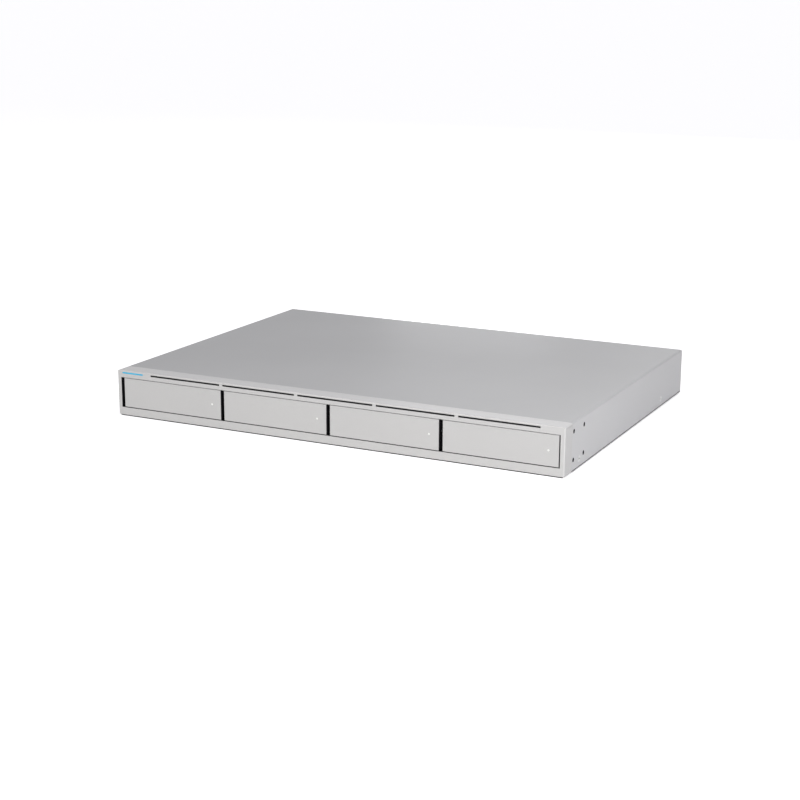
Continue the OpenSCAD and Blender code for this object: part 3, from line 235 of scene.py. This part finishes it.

# ---------------------------------------------------------------------------
# Front frame and doors.
# Moulded in ABS and sprayed with a silver lacquer that shows fine flakes close to. Faces turned up are painted lighter
# as light from above, and the frame's round edges carry a painted highlight, a bright line of light. The slots, the
# frame's inside, the doors' backs and their lower and right-hand edges are painted near-black as shade.


def silver_lacquer(name, shade, deep, painted_top_light, painted_edge_highlight, shaded_facing, black_shade_low, black_shade_high, flake_mm=0.35, cloud_mm=111):
    """Sprayed silver lacquer with fine flakes. Faces turned up take the painted top light colour, and the round outer
    edges the painted highlight colour. Faces turned along the given direction, and those in the given box, are painted
    near-black as shade. Real flakes are about 0.05 mm and are drawn larger, so that they show."""
    material, shader = finish_named(name)
    place = add(material, "ShaderNodeTexCoord").outputs["Object"]
    flakes = add(material, "ShaderNodeTexVoronoi", {"Vector": place}, Scale=1000 / flake_mm)
    cloud = add(material, "ShaderNodeTexNoise", {"Vector": place}, Scale=1000 / cloud_mm, Detail=2.0)
    clouded = {0: flakes.outputs["Distance"], 1: cloud.outputs["Fac"]}
    mixed = add(material, "ShaderNodeMath", clouded, operation="MULTIPLY")
    tone = add(material, "ShaderNodeValToRGB", {"Fac": mixed.outputs[0]})
    tone.color_ramp.elements[0].position, tone.color_ramp.elements[0].color = 0.0, linear(shade)
    tone.color_ramp.elements[1].position, tone.color_ramp.elements[1].color = 0.6, linear(deep)
    normal = add(material, "ShaderNodeTexCoord").outputs["Normal"]
    facing = add(material, "ShaderNodeSeparateXYZ", {"Vector": normal}).outputs["Z"]
    # faces turned up are painted a lighter colour, as light falling from above
    lit_from_above = add(material, "ShaderNodeMapRange", {"Value": facing}, From_Min=0.3, From_Max=1.0)
    top_light = add(material, "ShaderNodeMix", {"Factor": lit_from_above.outputs["Result"]}, data_type="RGBA")
    join(material, tone.outputs["Color"], top_light.inputs["A"])
    top_light.inputs["B"].default_value = linear(painted_top_light)
    # painted highlight on rounded edges: a rounded edge faces two ways at once, so the parts of its normal sideways,
    # lengthways and up add up to between 1.2 and 1.4, where those of a flat face add up to 1 at most
    mirrored = add(material, "ShaderNodeVectorMath", {0: normal}, operation="MULTIPLY")
    mirrored.inputs[1].default_value = (-1, -1, 1)
    sides = add(material, "ShaderNodeVectorMath", {0: normal, 1: mirrored.outputs[0]}, operation="MAXIMUM")
    spread = add(material, "ShaderNodeVectorMath", {0: sides.outputs[0]}, operation="DOT_PRODUCT")
    spread.inputs[1].default_value = (1, 1, 1)
    edge_highlight_weight = add(material, "ShaderNodeMapRange", {"Value": spread.outputs["Value"]}, From_Min=1.2, From_Max=1.4)
    edges = add(material, "ShaderNodeMix", {"Factor": edge_highlight_weight.outputs["Result"]}, data_type="RGBA")
    join(material, top_light.outputs["Result"], edges.inputs["A"])
    edges.inputs["B"].default_value = linear(painted_edge_highlight)
    # faces turned along the given direction, and those in the box, are painted near-black as shade in the gaps and
    # slots
    shaded_side = add(material, "ShaderNodeVectorMath", {0: normal}, operation="DOT_PRODUCT")
    shaded_side.inputs[1].default_value = shaded_facing
    turned = add(material, "ShaderNodeMath", {0: shaded_side.outputs["Value"]}, operation="GREATER_THAN")
    turned.inputs[1].default_value = 0.35
    in_shade_box = inside(material, place, black_shade_low, black_shade_high)
    painted_black_shade = add(material, "ShaderNodeMath", {0: in_shade_box, 1: turned.outputs[0]}, operation="MAXIMUM")
    shaded_coat = add(material, "ShaderNodeMix", {"Factor": painted_black_shade.outputs[0]}, data_type="RGBA")
    join(material, edges.outputs["Result"], shaded_coat.inputs["A"])
    shaded_coat.inputs["B"].default_value = linear("#18181A")
    join(material, shaded_coat.outputs["Result"], shader.inputs["Base Color"])
    bump = add(material, "ShaderNodeBump", {"Height": flakes.outputs["Distance"]}, Strength=0.05, Distance=0.00005)
    join(material, bump.outputs["Normal"], shader.inputs["Normal"])
    shader.inputs["Roughness"].default_value = 0.4
    shader.inputs["Specular IOR Level"].default_value = 0.5
    return material


bays = range(1, 5)
# painted near-black shade covers the frame from just behind its outer faces to its back, and the doors behind their
# front 1.5 mm
frame_low, frame_high = (Vector(corner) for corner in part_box("front_bezel"))
frame_shade_low = frame_low + Vector((0.0006, 0.0001, 0.0007))
frame_shade_high = frame_high + Vector((-0.0006, 0.001, -0.0006))
coat(silver_lacquer("silver lacquer on the moulded frame", "#AFAEAC", "#A9A8A7", "#CAC9C8", "#C3C2C0",
                    (0, 0, 0), frame_shade_low, frame_shade_high), "front_bezel")
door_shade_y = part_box("door_1")[0][1] + 0.0015
# on the doors, faces turned right and down are painted near-black as shade, and the edges get no painted highlight
coat(silver_lacquer("silver lacquer on the moulded doors", "#ADACAA", "#A7A6A5", "#C0BFBE", "#ADACAA",
                    (1, 0, -1.3), (-1, door_shade_y, -1), (1, 1, 1)), *[f"door_{k}" for k in bays])

# ---------------------------------------------------------------------------
# Light bar, door lenses and light guides.
# The bar is clear polycarbonate with a frosted face, lit blue from the board behind it. Each door
# has a small round lens of the same plastic, lit white by the clear acrylic guide on its tray.


def lit_plastic(name, body, shade, glow, strength, lamp_mm):
    """Frosted plastic lit from behind, brighter over each lamp."""
    material, shader = finish_named(name)
    place = add(material, "ShaderNodeTexCoord").outputs["Object"]
    lamps = add(material, "ShaderNodeTexNoise", {"Vector": place}, Scale=1000 / lamp_mm, Detail=1.0)
    tone = add(material, "ShaderNodeValToRGB", {"Fac": lamps.outputs["Fac"]})
    tone.color_ramp.elements[0].position, tone.color_ramp.elements[0].color = 0.3, linear(shade)
    tone.color_ramp.elements[1].position, tone.color_ramp.elements[1].color = 0.75, linear(glow)
    shader.inputs["Base Color"].default_value = linear(body)
    join(material, tone.outputs["Color"], shader.inputs["Emission Color"])
    shader.inputs["Emission Strength"].default_value = strength
    shader.inputs["Roughness"].default_value = 0.35
    return material


coat(lit_plastic("frosted polycarbonate lit blue", "#12303A", "#2C9FC6", "#43B3D6", 1.0, 4.0), "status_light_bar")
coat(lit_plastic("frosted polycarbonate lit white", "#7C7C7A", "#CFCFCC", "#DADAD8", 0.8, 2.0),
     *[f"door_lens_{k}" for k in bays])

flow_mm = 2.5
clear, shader = finish_named("clear moulded acrylic light guide")
place = add(clear, "ShaderNodeTexCoord").outputs["Object"]
flow = add(clear, "ShaderNodeTexNoise", {"Vector": place}, Scale=1000 / flow_mm, Detail=1.0)
tint = add(clear, "ShaderNodeValToRGB", {"Fac": flow.outputs["Fac"]})
tint.color_ramp.elements[0].color, tint.color_ramp.elements[1].color = linear("#DDE6EA"), linear("#F2F7F9")
join(clear, tint.outputs["Color"], shader.inputs["Base Color"])
shader.inputs["Roughness"].default_value = 0.08
shader.inputs["Transmission Weight"].default_value = 0.6
coat(clear, *[f"light_guide_{k}" for k in bays])

# ---------------------------------------------------------------------------
# Drive cage, power supply case and fibre cage.
# The first two are folded from zinc-coated steel. The zinc sets in flat crystals a few millimetres
# across, which differ a little in tone and gloss. The fibre cage is thin nickel-plated sheet.


def zinc_sheet(name, shade, deep, crystal_mm):
    """Zinc-coated steel: flat crystals of slightly different tone."""
    material, shader = finish_named(name)
    place = add(material, "ShaderNodeTexCoord").outputs["Object"]
    crystals = add(material, "ShaderNodeTexVoronoi", {"Vector": place}, Scale=1000 / crystal_mm)
    grey = add(material, "ShaderNodeSeparateColor", {"Color": crystals.outputs["Color"]})
    tone = add(material, "ShaderNodeValToRGB", {"Fac": grey.outputs["Red"]})
    tone.color_ramp.elements[0].color, tone.color_ramp.elements[1].color = linear(deep), linear(shade)
    join(material, tone.outputs["Color"], shader.inputs["Base Color"])
    gloss = add(material, "ShaderNodeMapRange", {"Value": grey.outputs["Green"]}, To_Min=0.34, To_Max=0.5)
    join(material, gloss.outputs["Result"], shader.inputs["Roughness"])
    shader.inputs["Metallic"].default_value = 1.0
    return material


coat(zinc_sheet("zinc-coated steel", "#B2B4B6", "#A2A4A7", 5.0), "drive_cage", "power_supply_case")
coat(zinc_sheet("nickel-plated shell of a socket", "#C6C4BE", "#BBB9B3", 0.8), "fibre_cage")

# ---------------------------------------------------------------------------
# Circuit boards.
# Glass-fibre boards under a green solder mask, with copper tracks that show as paler lines, and
# black moulded chips, coils and plugs on them. The clock cell is nickel-plated, the memory boards
# stand upright and are green too.


def solder_mask(name, face, axis, green_low=(0, 0, 0), green_high=(0, 0, 0), cell_mm=14.0, track_mm=1.1, chip_mm=11.1):
    """Green mask with tracks up to the board's face, given in metres along an axis, and black parts beyond it. What
    lies in the green box is board too."""
    material, shader = finish_named(name)
    place = add(material, "ShaderNodeTexCoord").outputs["Object"]
    cells = add(material, "ShaderNodeTexVoronoi", {"Vector": place}, Scale=1000 / cell_mm, distance="CHEBYCHEV")
    rows = add(material, "ShaderNodeMath", {0: cells.outputs["Distance"]}, operation="MULTIPLY")
    rows.inputs[1].default_value = cell_mm / track_mm
    across = add(material, "ShaderNodeMath", {0: rows.outputs[0]}, operation="FRACT")
    tracks = add(material, "ShaderNodeMath", {0: across.outputs[0]}, operation="LESS_THAN")
    tracks.inputs[1].default_value = 0.4
    mask = add(material, "ShaderNodeMix", {"Factor": tracks.outputs[0]}, data_type="RGBA")
    mask.inputs["A"].default_value, mask.inputs["B"].default_value = linear("#0E4A2C"), linear("#185C38")
    height = add(material, "ShaderNodeSeparateXYZ", {"Vector": place}).outputs[axis]
    above = add(material, "ShaderNodeMath", {0: height}, operation="GREATER_THAN")
    above.inputs[1].default_value = face + 0.0002
    upright = inside(material, place, green_low, green_high)
    above = add(material, "ShaderNodeMath", {0: above.outputs[0], 1: upright}, operation="SUBTRACT")
    parts = add(material, "ShaderNodeTexNoise", {"Vector": place}, Scale=1000 / chip_mm, Detail=1.0)
    black = add(material, "ShaderNodeValToRGB", {"Fac": parts.outputs["Fac"]})
    black.color_ramp.elements[0].color, black.color_ramp.elements[1].color = linear("#17181A"), linear("#2A2B2E")
    both = add(material, "ShaderNodeMix", {"Factor": above.outputs[0]}, data_type="RGBA")
    join(material, mask.outputs["Result"], both.inputs["A"])
    join(material, black.outputs["Color"], both.inputs["B"])
    join(material, both.outputs["Result"], shader.inputs["Base Color"])
    shader.inputs["Roughness"].default_value = 0.38
    return material


def plated(material, *boxes):
    """Nickel plating on what lies in the boxes, such as the blades of a socket."""
    shader = material.node_tree.nodes["Principled BSDF"]
    place = add(material, "ShaderNodeTexCoord").outputs["Object"]
    metal_here = inside(material, place, *boxes[0])
    for low, high in boxes[1:]:
        other = inside(material, place, low, high)
        metal_here = add(material, "ShaderNodeMath", {0: metal_here, 1: other}, operation="MAXIMUM").outputs[0]
    below = shader.inputs["Base Color"].links[0].from_socket
    metal = add(material, "ShaderNodeMix", {"Factor": metal_here}, data_type="RGBA")
    join(material, below, metal.inputs["A"])
    metal.inputs["B"].default_value = linear("#BAB8B2")
    join(material, metal.outputs["Result"], shader.inputs["Base Color"])
    join(material, metal_here, shader.inputs["Metallic"])
    return material


board = Vector(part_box("main_board")[0])  # its front left corner, from which places on it are measured
board_face = board.z + 0.0016  # the supply's board stands as high
backplane_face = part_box("backplane_board")[0][1] + 0.0028
status_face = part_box("status_board")[0][2] + 0.0008
memory_boards = spot("main_board", (0.0766, 0.0387, 0.0048), (0.1464, 0.0526, 0.0290))
clock_cell = spot("main_board", (0.0346, 0.1039, 0.0037), (0.0554, 0.1247, 0.0055))
main_mask = solder_mask("green solder mask on the main board", board_face, "Z", *memory_boards)
coat(plated(main_mask, clock_cell), "main_board")
coat(solder_mask("green solder mask with black parts", board_face, "Z"), "power_supply_board")
coat(solder_mask("green solder mask on the backplane", backplane_face, "Y"), "backplane_board")
coat(solder_mask("green solder mask on the status board", status_face, "Z"), "status_board")

# ---------------------------------------------------------------------------
# Surface-mounted parts and capacitor sleeves on the main board.
# Ceramic capacitors and resistors with tinned ends are soldered in rows round the processor and the
# chips, and the tall capacitors are drawn aluminium cans with a printed band.

chip_mesh = bmesh.new()
chip_length, chip_width, chip_height, chip_edge = 0.0016, 0.0008, 0.0006, 0.00008
body_length, cap_length, cap_growth = 0.62 * chip_length, 0.24 * chip_length, 1.08


def small_part(x, y, turned):
    """A ceramic body between two tinned caps that are a little fatter, lying along X or turned along Y."""
    spin = Matrix.Rotation(math.pi / 2 if turned else 0, 4, "Z")
    for offset, length, growth, slot in ((0, body_length, 1.0, 0), (-0.4 * chip_length, cap_length, cap_growth, 1),
                                         (0.4 * chip_length, cap_length, cap_growth, 1)):
        before = set(chip_mesh.faces)
        grown = Matrix.Diagonal((length, chip_width * growth, chip_height * growth, 1))
        seat = Matrix.Translation((x, y, board_face + chip_height * growth / 2))
        at = seat @ spin @ Matrix.Translation((offset, 0, 0))
        made = bmesh.ops.create_cube(chip_mesh, size=1, matrix=at @ grown)
        edges = dict.fromkeys(edge for corner in made["verts"] for edge in corner.link_edges)
        bmesh.ops.bevel(chip_mesh, geom=list(edges), offset=chip_edge, segments=1, affect="EDGES")
        for face in set(chip_mesh.faces) - before:
            face.material_index = slot


# where each row starts on the board, its number of parts and pitch, and whether it runs along Y
for row_x, row_y, count, pitch, along_y in (
    (0.0221, 0.0354, 14, 0.0034, False), (0.0221, 0.0330, 10, 0.0034, False), (0.0736, 0.0614, 8, 0.0030, True),
    (0.0836, 0.0824, 16, 0.0033, False), (0.1151, 0.1054, 6, 0.0032, False), (0.0151, 0.1054, 6, 0.0030, False),
    (0.0601, 0.0934, 7, 0.0034, False), (0.0771, 0.0114, 18, 0.0036, False), (0.0771, 0.0154, 12, 0.0036, False)):
    for n in range(count):
        step_x, step_y = (0, n * pitch) if along_y else (n * pitch, 0)
        small_part(board.x + row_x + step_x, board.y + row_y + step_y, not along_y)
mesh = bpy.data.meshes.new("surface_mounted_parts")
chip_mesh.to_mesh(mesh)
chip_mesh.free()
small_parts = bpy.data.objects.new("surface_mounted_parts", mesh)
scene.collection.objects.link(small_parts)
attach(small_parts, "chassis")
batch_mm = 3.03  # about the pitch of the parts, so that neighbours differ in tone
ceramic, shader = finish_named("fired ceramic, tan to brown")
place = add(ceramic, "ShaderNodeTexCoord").outputs["Object"]
batch = add(ceramic, "ShaderNodeTexVoronoi", {"Vector": place}, Scale=1000 / batch_mm)
tone = add(ceramic, "ShaderNodeValToRGB", {"Fac": batch.outputs["Distance"]})
tone.color_ramp.elements[0].color, tone.color_ramp.elements[1].color = linear("#8A7458"), linear("#2B2624")
join(ceramic, tone.outputs["Color"], shader.inputs["Base Color"])
shader.inputs["Roughness"].default_value = 0.45
mesh.materials.append(ceramic)
solder_grain_mm = 0.4
tin, shader = finish_named("dull tinned solder")
place = add(tin, "ShaderNodeTexCoord").outputs["Object"]
flow = add(tin, "ShaderNodeTexNoise", {"Vector": place}, Scale=1000 / solder_grain_mm, Detail=1.0)
gloss = add(tin, "ShaderNodeMapRange", {"Value": flow.outputs["Fac"]}, To_Min=0.25, To_Max=0.5)
join(tin, gloss.outputs["Result"], shader.inputs["Roughness"])
shader.inputs["Base Color"].default_value = linear("#C9CACC")
shader.inputs["Metallic"].default_value = 1.0
mesh.materials.append(tin)

# radius and height over the board: a groove above the seal, a rounded shoulder, and a slightly sunk top
sleeve_profile = [(0.0038, 0.0002), (0.0038, 0.0010), (0.00365, 0.0014), (0.0038, 0.0018), (0.0038, 0.0088),
                  (0.0035, 0.0092), (0.0031, 0.0092), (0.0030, 0.00905), (0.0006, 0.00905), (0.0, 0.00895)]
can_x, can_y, can_pitch, can_count, facets = board.x + 0.0265, board.y + 0.02803, 0.013, 4, 32
sleeve_mesh = bmesh.new()
for k in range(can_count):
    rings = []
    for radius, rise in sleeve_profile:
        angles = [a * 2 * math.pi / facets for a in range(facets)] if radius > 0 else [0]
        rings.append([sleeve_mesh.verts.new((can_x + can_pitch * k + radius * math.cos(angle),
                                             can_y + radius * math.sin(angle), board_face + rise))
                      for angle in angles])
    for low, high in zip(rings, rings[1:]):
        for a in range(facets):
            b = (a + 1) % facets
            corners = [low[a], low[b], high[b], high[a]] if len(high) > 1 else [low[a], low[b], high[0]]
            sleeve_mesh.faces.new(corners)
mesh = bpy.data.meshes.new("capacitor_sleeves")
sleeve_mesh.to_mesh(mesh)
sleeve_mesh.free()
mesh.shade_smooth()
sleeves = bpy.data.objects.new("capacitor_sleeves", mesh)
scene.collection.objects.link(sleeves)
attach(sleeves, "chassis")
band_y = can_y + 0.00217  # the print covers what lies behind this
draw_mm = 0.556  # drawing marks, wider than real ones to show
can, shader = finish_named("drawn aluminium can with a dark printed band")
place = add(can, "ShaderNodeTexCoord").outputs["Object"]
axes = add(can, "ShaderNodeSeparateXYZ", {"Vector": place})
band = add(can, "ShaderNodeMath", {0: axes.outputs["Y"]}, operation="GREATER_THAN")
band.inputs[1].default_value = band_y
print_tone = add(can, "ShaderNodeMix", {"Factor": band.outputs[0]}, data_type="RGBA")
print_tone.inputs["A"].default_value, print_tone.inputs["B"].default_value = linear("#B9BABC"), linear("#2C3F66")
join(can, print_tone.outputs["Result"], shader.inputs["Base Color"])
draw = add(can, "ShaderNodeTexNoise", {"Vector": place}, Scale=1000 / draw_mm, Detail=1.0)
gloss = add(can, "ShaderNodeMapRange", {"Value": draw.outputs["Fac"]}, To_Min=0.25, To_Max=0.42)
join(can, gloss.outputs["Result"], shader.inputs["Roughness"])
shader.inputs["Metallic"].default_value = 0.8
mesh.materials.append(can)

# ---------------------------------------------------------------------------
# Processor heatsink.
# Extruded aluminium with a natural finish and fine lines along the way it was drawn.

line_mm, line_length_mm = 0.625, 50  # wider than real ones, which would be too fine to show
sink, shader = finish_named("extruded aluminium")
place = add(sink, "ShaderNodeTexCoord").outputs["Object"]
along = add(sink, "ShaderNodeMapping", {"Vector": place},
            Scale=(1000 / line_mm, 1000 / line_length_mm, 1000 / line_mm))
lines = add(sink, "ShaderNodeTexNoise", {"Vector": along.outputs["Vector"]}, Scale=1.0, Detail=2.0)
tone = add(sink, "ShaderNodeValToRGB", {"Fac": lines.outputs["Fac"]})
tone.color_ramp.elements[0].color, tone.color_ramp.elements[1].color = linear("#A9ABAD"), linear("#CDCFD0")
join(sink, tone.outputs["Color"], shader.inputs["Base Color"])
shader.inputs["Metallic"].default_value = 1.0
shader.inputs["Roughness"].default_value = 0.38
coat(sink, "processor_heatsink")

# ---------------------------------------------------------------------------
# Mouldings: drive sockets, mains inlet, backup socket, fans, latches, reset button and leads.
# Glass-filled PBT or acetal, moulded in tools with a fine spark finish, so it is dull and a little
# uneven in gloss. The sockets' blades and the pin are plated brass.


def moulded_plastic(name, shade, deep, grain_mm, roughness):
    """Moulded plastic: a spark-eroded grain, drawn coarser than the real one so that it shows, and a slight change
    of tone."""
    material, shader = finish_named(name)
    place = add(material, "ShaderNodeTexCoord").outputs["Object"]
    grain = add(material, "ShaderNodeTexNoise", {"Vector": place}, Scale=1000 / grain_mm, Detail=2.0)
    tone = add(material, "ShaderNodeValToRGB", {"Fac": grain.outputs["Fac"]})
    tone.color_ramp.elements[0].position, tone.color_ramp.elements[0].color = 0.25, linear(deep)
    tone.color_ramp.elements[1].position, tone.color_ramp.elements[1].color = 0.75, linear(shade)
    join(material, tone.outputs["Color"], shader.inputs["Base Color"])
    bump = add(material, "ShaderNodeBump", {"Height": grain.outputs["Fac"]}, Strength=0.2, Distance=0.0001)
    join(material, bump.outputs["Normal"], shader.inputs["Normal"])
    gloss = add(material, "ShaderNodeMapRange", {"Value": grain.outputs["Fac"]},
                To_Min=roughness - 0.06, To_Max=roughness + 0.06)
    join(material, gloss.outputs["Result"], shader.inputs["Roughness"])
    return material


fans = range(1, 4)
coat(moulded_plastic("black glass-filled PBT", "#1E1F21", "#17181A", 0.5, 0.5),
     "drive_sockets", *[f"fan_frame_{k}" for k in fans])
inlet_blades = spot("power_inlet", (0.0069, 0.0092, 0.0080), (0.0239, 0.0226, 0.0170))
inlet_terminals = spot("power_inlet", (0.0054, -0.0064, 0.0080), (0.0254, 0.0049, 0.0170))
backup_pin = spot("backup_power_jack", (0.0068, 0.0042, 0.0048), (0.0112, 0.0126, 0.0092))
coat(plated(moulded_plastic("black PBT with plated contacts", "#1E1F21", "#17181A", 0.5, 0.42),
            inlet_blades, inlet_terminals, backup_pin), "power_inlet", "backup_power_jack")
coat(moulded_plastic("dark grey PBT of the rotors", "#2C2D30", "#242528", 0.7, 0.42),
     *[f"fan_rotor_{k}" for k in fans])
coat(moulded_plastic("black acetal of the latches", "#1A1A1C", "#131315", 0.6, 0.35),
     *[f"latch_plunger_{k}" for k in bays])
coat(moulded_plastic("grey acetal of the reset button", "#6C6D70", "#606164", 0.6, 0.4), "reset_button")
coat(moulded_plastic("soft PVC insulation", "#222224", "#19191B", 0.9, 0.55), "wiring")

# ---------------------------------------------------------------------------
# Memory chips.
# Each of the two memory modules carries four epoxy packages on each face, moulded with a chamfer
# round the outer side.

package_mesh = bmesh.new()
package, package_edge = Vector((0.0110, 0.0010, 0.0105)), 0.0003
package_x, package_z, package_pitch, per_face = board.x + 0.0870, board_face + 0.0162, 0.0163, 4
for face_y, side in ((0.03898, -1), (0.04048, 1), (0.05090, -1), (0.05240, 1)):
    module_face = board.y + face_y
    for n in range(per_face):
        at = Matrix.Translation((package_x + package_pitch * n, module_face + side * package.y / 2, package_z))
        made = bmesh.ops.create_cube(package_mesh, size=1, matrix=at @ Matrix.Diagonal((*package, 1)))
        edges = dict.fromkeys(edge for corner in made["verts"] for edge in corner.link_edges)
        outer = [edge for edge in edges
                 if all((corner.co.y - module_face) * side > package.y / 2 for corner in edge.verts)]
        bmesh.ops.bevel(package_mesh, geom=outer, offset=package_edge, segments=1, affect="EDGES")
mesh = bpy.data.meshes.new("memory_chips")
package_mesh.to_mesh(mesh)
package_mesh.free()
mesh.materials.append(moulded_plastic("black epoxy of the chips", "#232427", "#1A1B1D", 0.3, 0.45))
memory_chips = bpy.data.objects.new("memory_chips", mesh)
scene.collection.objects.link(memory_chips)
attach(memory_chips, "chassis")

# ---------------------------------------------------------------------------
# Trays.
# Moulded in dark grey ABS with a fine texture, open underneath and at the front for the air.

coat(moulded_plastic("dark grey textured ABS", "#47484B", "#3D3E41", 0.8, 0.55), *[f"tray_{k}" for k in bays])

# ---------------------------------------------------------------------------
# Drives.
# Each has a cast aluminium base, dull and slightly grainy, under a pressed lid that is brushed
# along its length.

casting_mm, brush_mm, brush_length_mm = 0.9, 0.714, 33.3  # the brush marks are wider than real, to show
lid_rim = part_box("drive_1")[1][2] - 0.0012
cast, shader = finish_named("cast aluminium with a brushed lid")
place = add(cast, "ShaderNodeTexCoord").outputs["Object"]
grain = add(cast, "ShaderNodeTexNoise", {"Vector": place}, Scale=1000 / casting_mm, Detail=3.0)
along = add(cast, "ShaderNodeMapping", {"Vector": place},
            Scale=(1000 / brush_mm, 1000 / brush_length_mm, 1000 / brush_length_mm))
brushed = add(cast, "ShaderNodeTexNoise", {"Vector": along.outputs["Vector"]}, Scale=1.0, Detail=2.0)
height = add(cast, "ShaderNodeSeparateXYZ", {"Vector": place}).outputs["Z"]
on_lid = add(cast, "ShaderNodeMath", {0: height}, operation="GREATER_THAN")
on_lid.inputs[1].default_value = lid_rim
pattern = add(cast, "ShaderNodeMix",
              {"Factor": on_lid.outputs[0], "A": grain.outputs["Fac"], "B": brushed.outputs["Fac"]})
tone = add(cast, "ShaderNodeValToRGB", {"Fac": pattern.outputs["Result"]})
tone.color_ramp.elements[0].position, tone.color_ramp.elements[0].color = 0.3, linear("#8C8E90")
tone.color_ramp.elements[1].position, tone.color_ramp.elements[1].color = 0.7, linear("#B2B4B6")
join(cast, tone.outputs["Color"], shader.inputs["Base Color"])
bump = add(cast, "ShaderNodeBump", {"Height": pattern.outputs["Result"]}, Strength=0.15, Distance=0.0001)
join(cast, bump.outputs["Normal"], shader.inputs["Normal"])
shader.inputs["Metallic"].default_value = 0.9
shader.inputs["Roughness"].default_value = 0.6
coat(cast, *[f"drive_{k}" for k in bays])

# ---------------------------------------------------------------------------
# Screws, clinch nuts, hinge pins and the network jack.
# The screws and the jack's shell are steel with a thin nickel plating, bright over fine machining marks. The nuts are
# plated in black zinc and are near-black also as painted shade in the rack-ear holes, and the pins are cut from bare
# drawn wire.


def bright_metal(name, shade, deep, mark_mm, roughness):
    """Plating or bare steel with machining marks, which are drawn coarser than real ones so that they show."""
    material, shader = finish_named(name)
    place = add(material, "ShaderNodeTexCoord").outputs["Object"]
    marks = add(material, "ShaderNodeTexNoise", {"Vector": place}, Scale=1000 / mark_mm, Detail=2.0)
    tone = add(material, "ShaderNodeValToRGB", {"Fac": marks.outputs["Fac"]})
    tone.color_ramp.elements[0].color, tone.color_ramp.elements[1].color = linear(deep), linear(shade)
    join(material, tone.outputs["Color"], shader.inputs["Base Color"])
    gloss = add(material, "ShaderNodeMapRange", {"Value": marks.outputs["Fac"]},
                To_Min=roughness - 0.05, To_Max=roughness + 0.08)
    join(material, gloss.outputs["Result"], shader.inputs["Roughness"])
    shader.inputs["Metallic"].default_value = 1.0
    return material


coat(bright_metal("nickel-plated screws", "#D0D0CE", "#BABAB9", 0.4, 0.33),
     "case_screws", "board_screws", "fan_screws")
# the nuts' near-black is partly painted shade inside the rack-ear holes
coat(bright_metal("black-zinc clinch nuts, darkened as painted shade", "#161617", "#0D0D0E", 0.5, 0.4), "rack_nuts")
coat(bright_metal("drawn steel wire and pins", "#C2C2C2", "#AEAEAF", 0.3, 0.25),
     *[f"hinge_pin_{k}" for k in bays])
coat(bright_metal("nickel-plated shell of the network jack", "#C9C7C2", "#B9B7B2", 0.6, 0.3), "network_jack")

# ---------------------------------------------------------------------------
# Latch springs.
# Five turns of 0.5 mm steel wire with closed ends, in the plunger's guide. The front end rests on the plunger and the
# back end on the tray.

spring_steel = bright_metal("drawn spring steel", "#C2C2C2", "#AEAEAF", 0.3, 0.25)
wire_r, turns, steps, sides = 0.00025, 5, 24, 10
closed, closed_pitch = 0.75, 2.05 * wire_r  # turns wound close at each end, and how close
for k in bays:
    low, high = (Vector(corner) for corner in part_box(f"latch_spring_{k}"))
    middle = (low + high) / 2
    coil_r = (high.x - low.x) / 2 - wire_r
    wire_low, wire_high = low.y + wire_r, high.y - wire_r
    end_rise = closed * closed_pitch
    open_pitch = (wire_high - wire_low - 2 * end_rise) / (turns - 2 * closed)
    wire = bmesh.new()
    rings = []
    for s in range(turns * steps + 1):
        turn = s / steps
        close_turns = min(turn, closed) + max(0, turn - turns + closed)
        open_turns = max(0, min(turn, turns - closed) - closed)
        rise = close_turns * closed_pitch + open_turns * open_pitch
        angle = 2 * math.pi * turn
        outward = Vector((math.cos(angle), 0, math.sin(angle)))
        at = Vector((middle.x, wire_low + rise, middle.z)) + outward * coil_r
        rings.append([wire.verts.new(at + (outward * math.cos(t) + Vector((0, 1, 0)) * math.sin(t)) * wire_r)
                      for t in (2 * math.pi * side / sides for side in range(sides))])
    for before, after in zip(rings, rings[1:]):
        for side in range(sides):
            other = (side + 1) % sides
            wire.faces.new([before[side], before[other], after[other], after[side]])
    wire.faces.new(rings[0][::-1])
    wire.faces.new(rings[-1])
    bmesh.ops.recalc_face_normals(wire, faces=wire.faces)
    mesh = bpy.data.meshes.new(f"wound_spring_{k}")
    wire.to_mesh(mesh)
    wire.free()
    mesh.shade_smooth()
    mesh.materials.append(spring_steel)
    spring = bpy.data.objects.new(f"wound_spring_{k}", mesh)
    scene.collection.objects.link(spring)
    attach(spring, f"tray_{k}")
    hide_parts(f"latch_spring_{k}")
    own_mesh(spring)
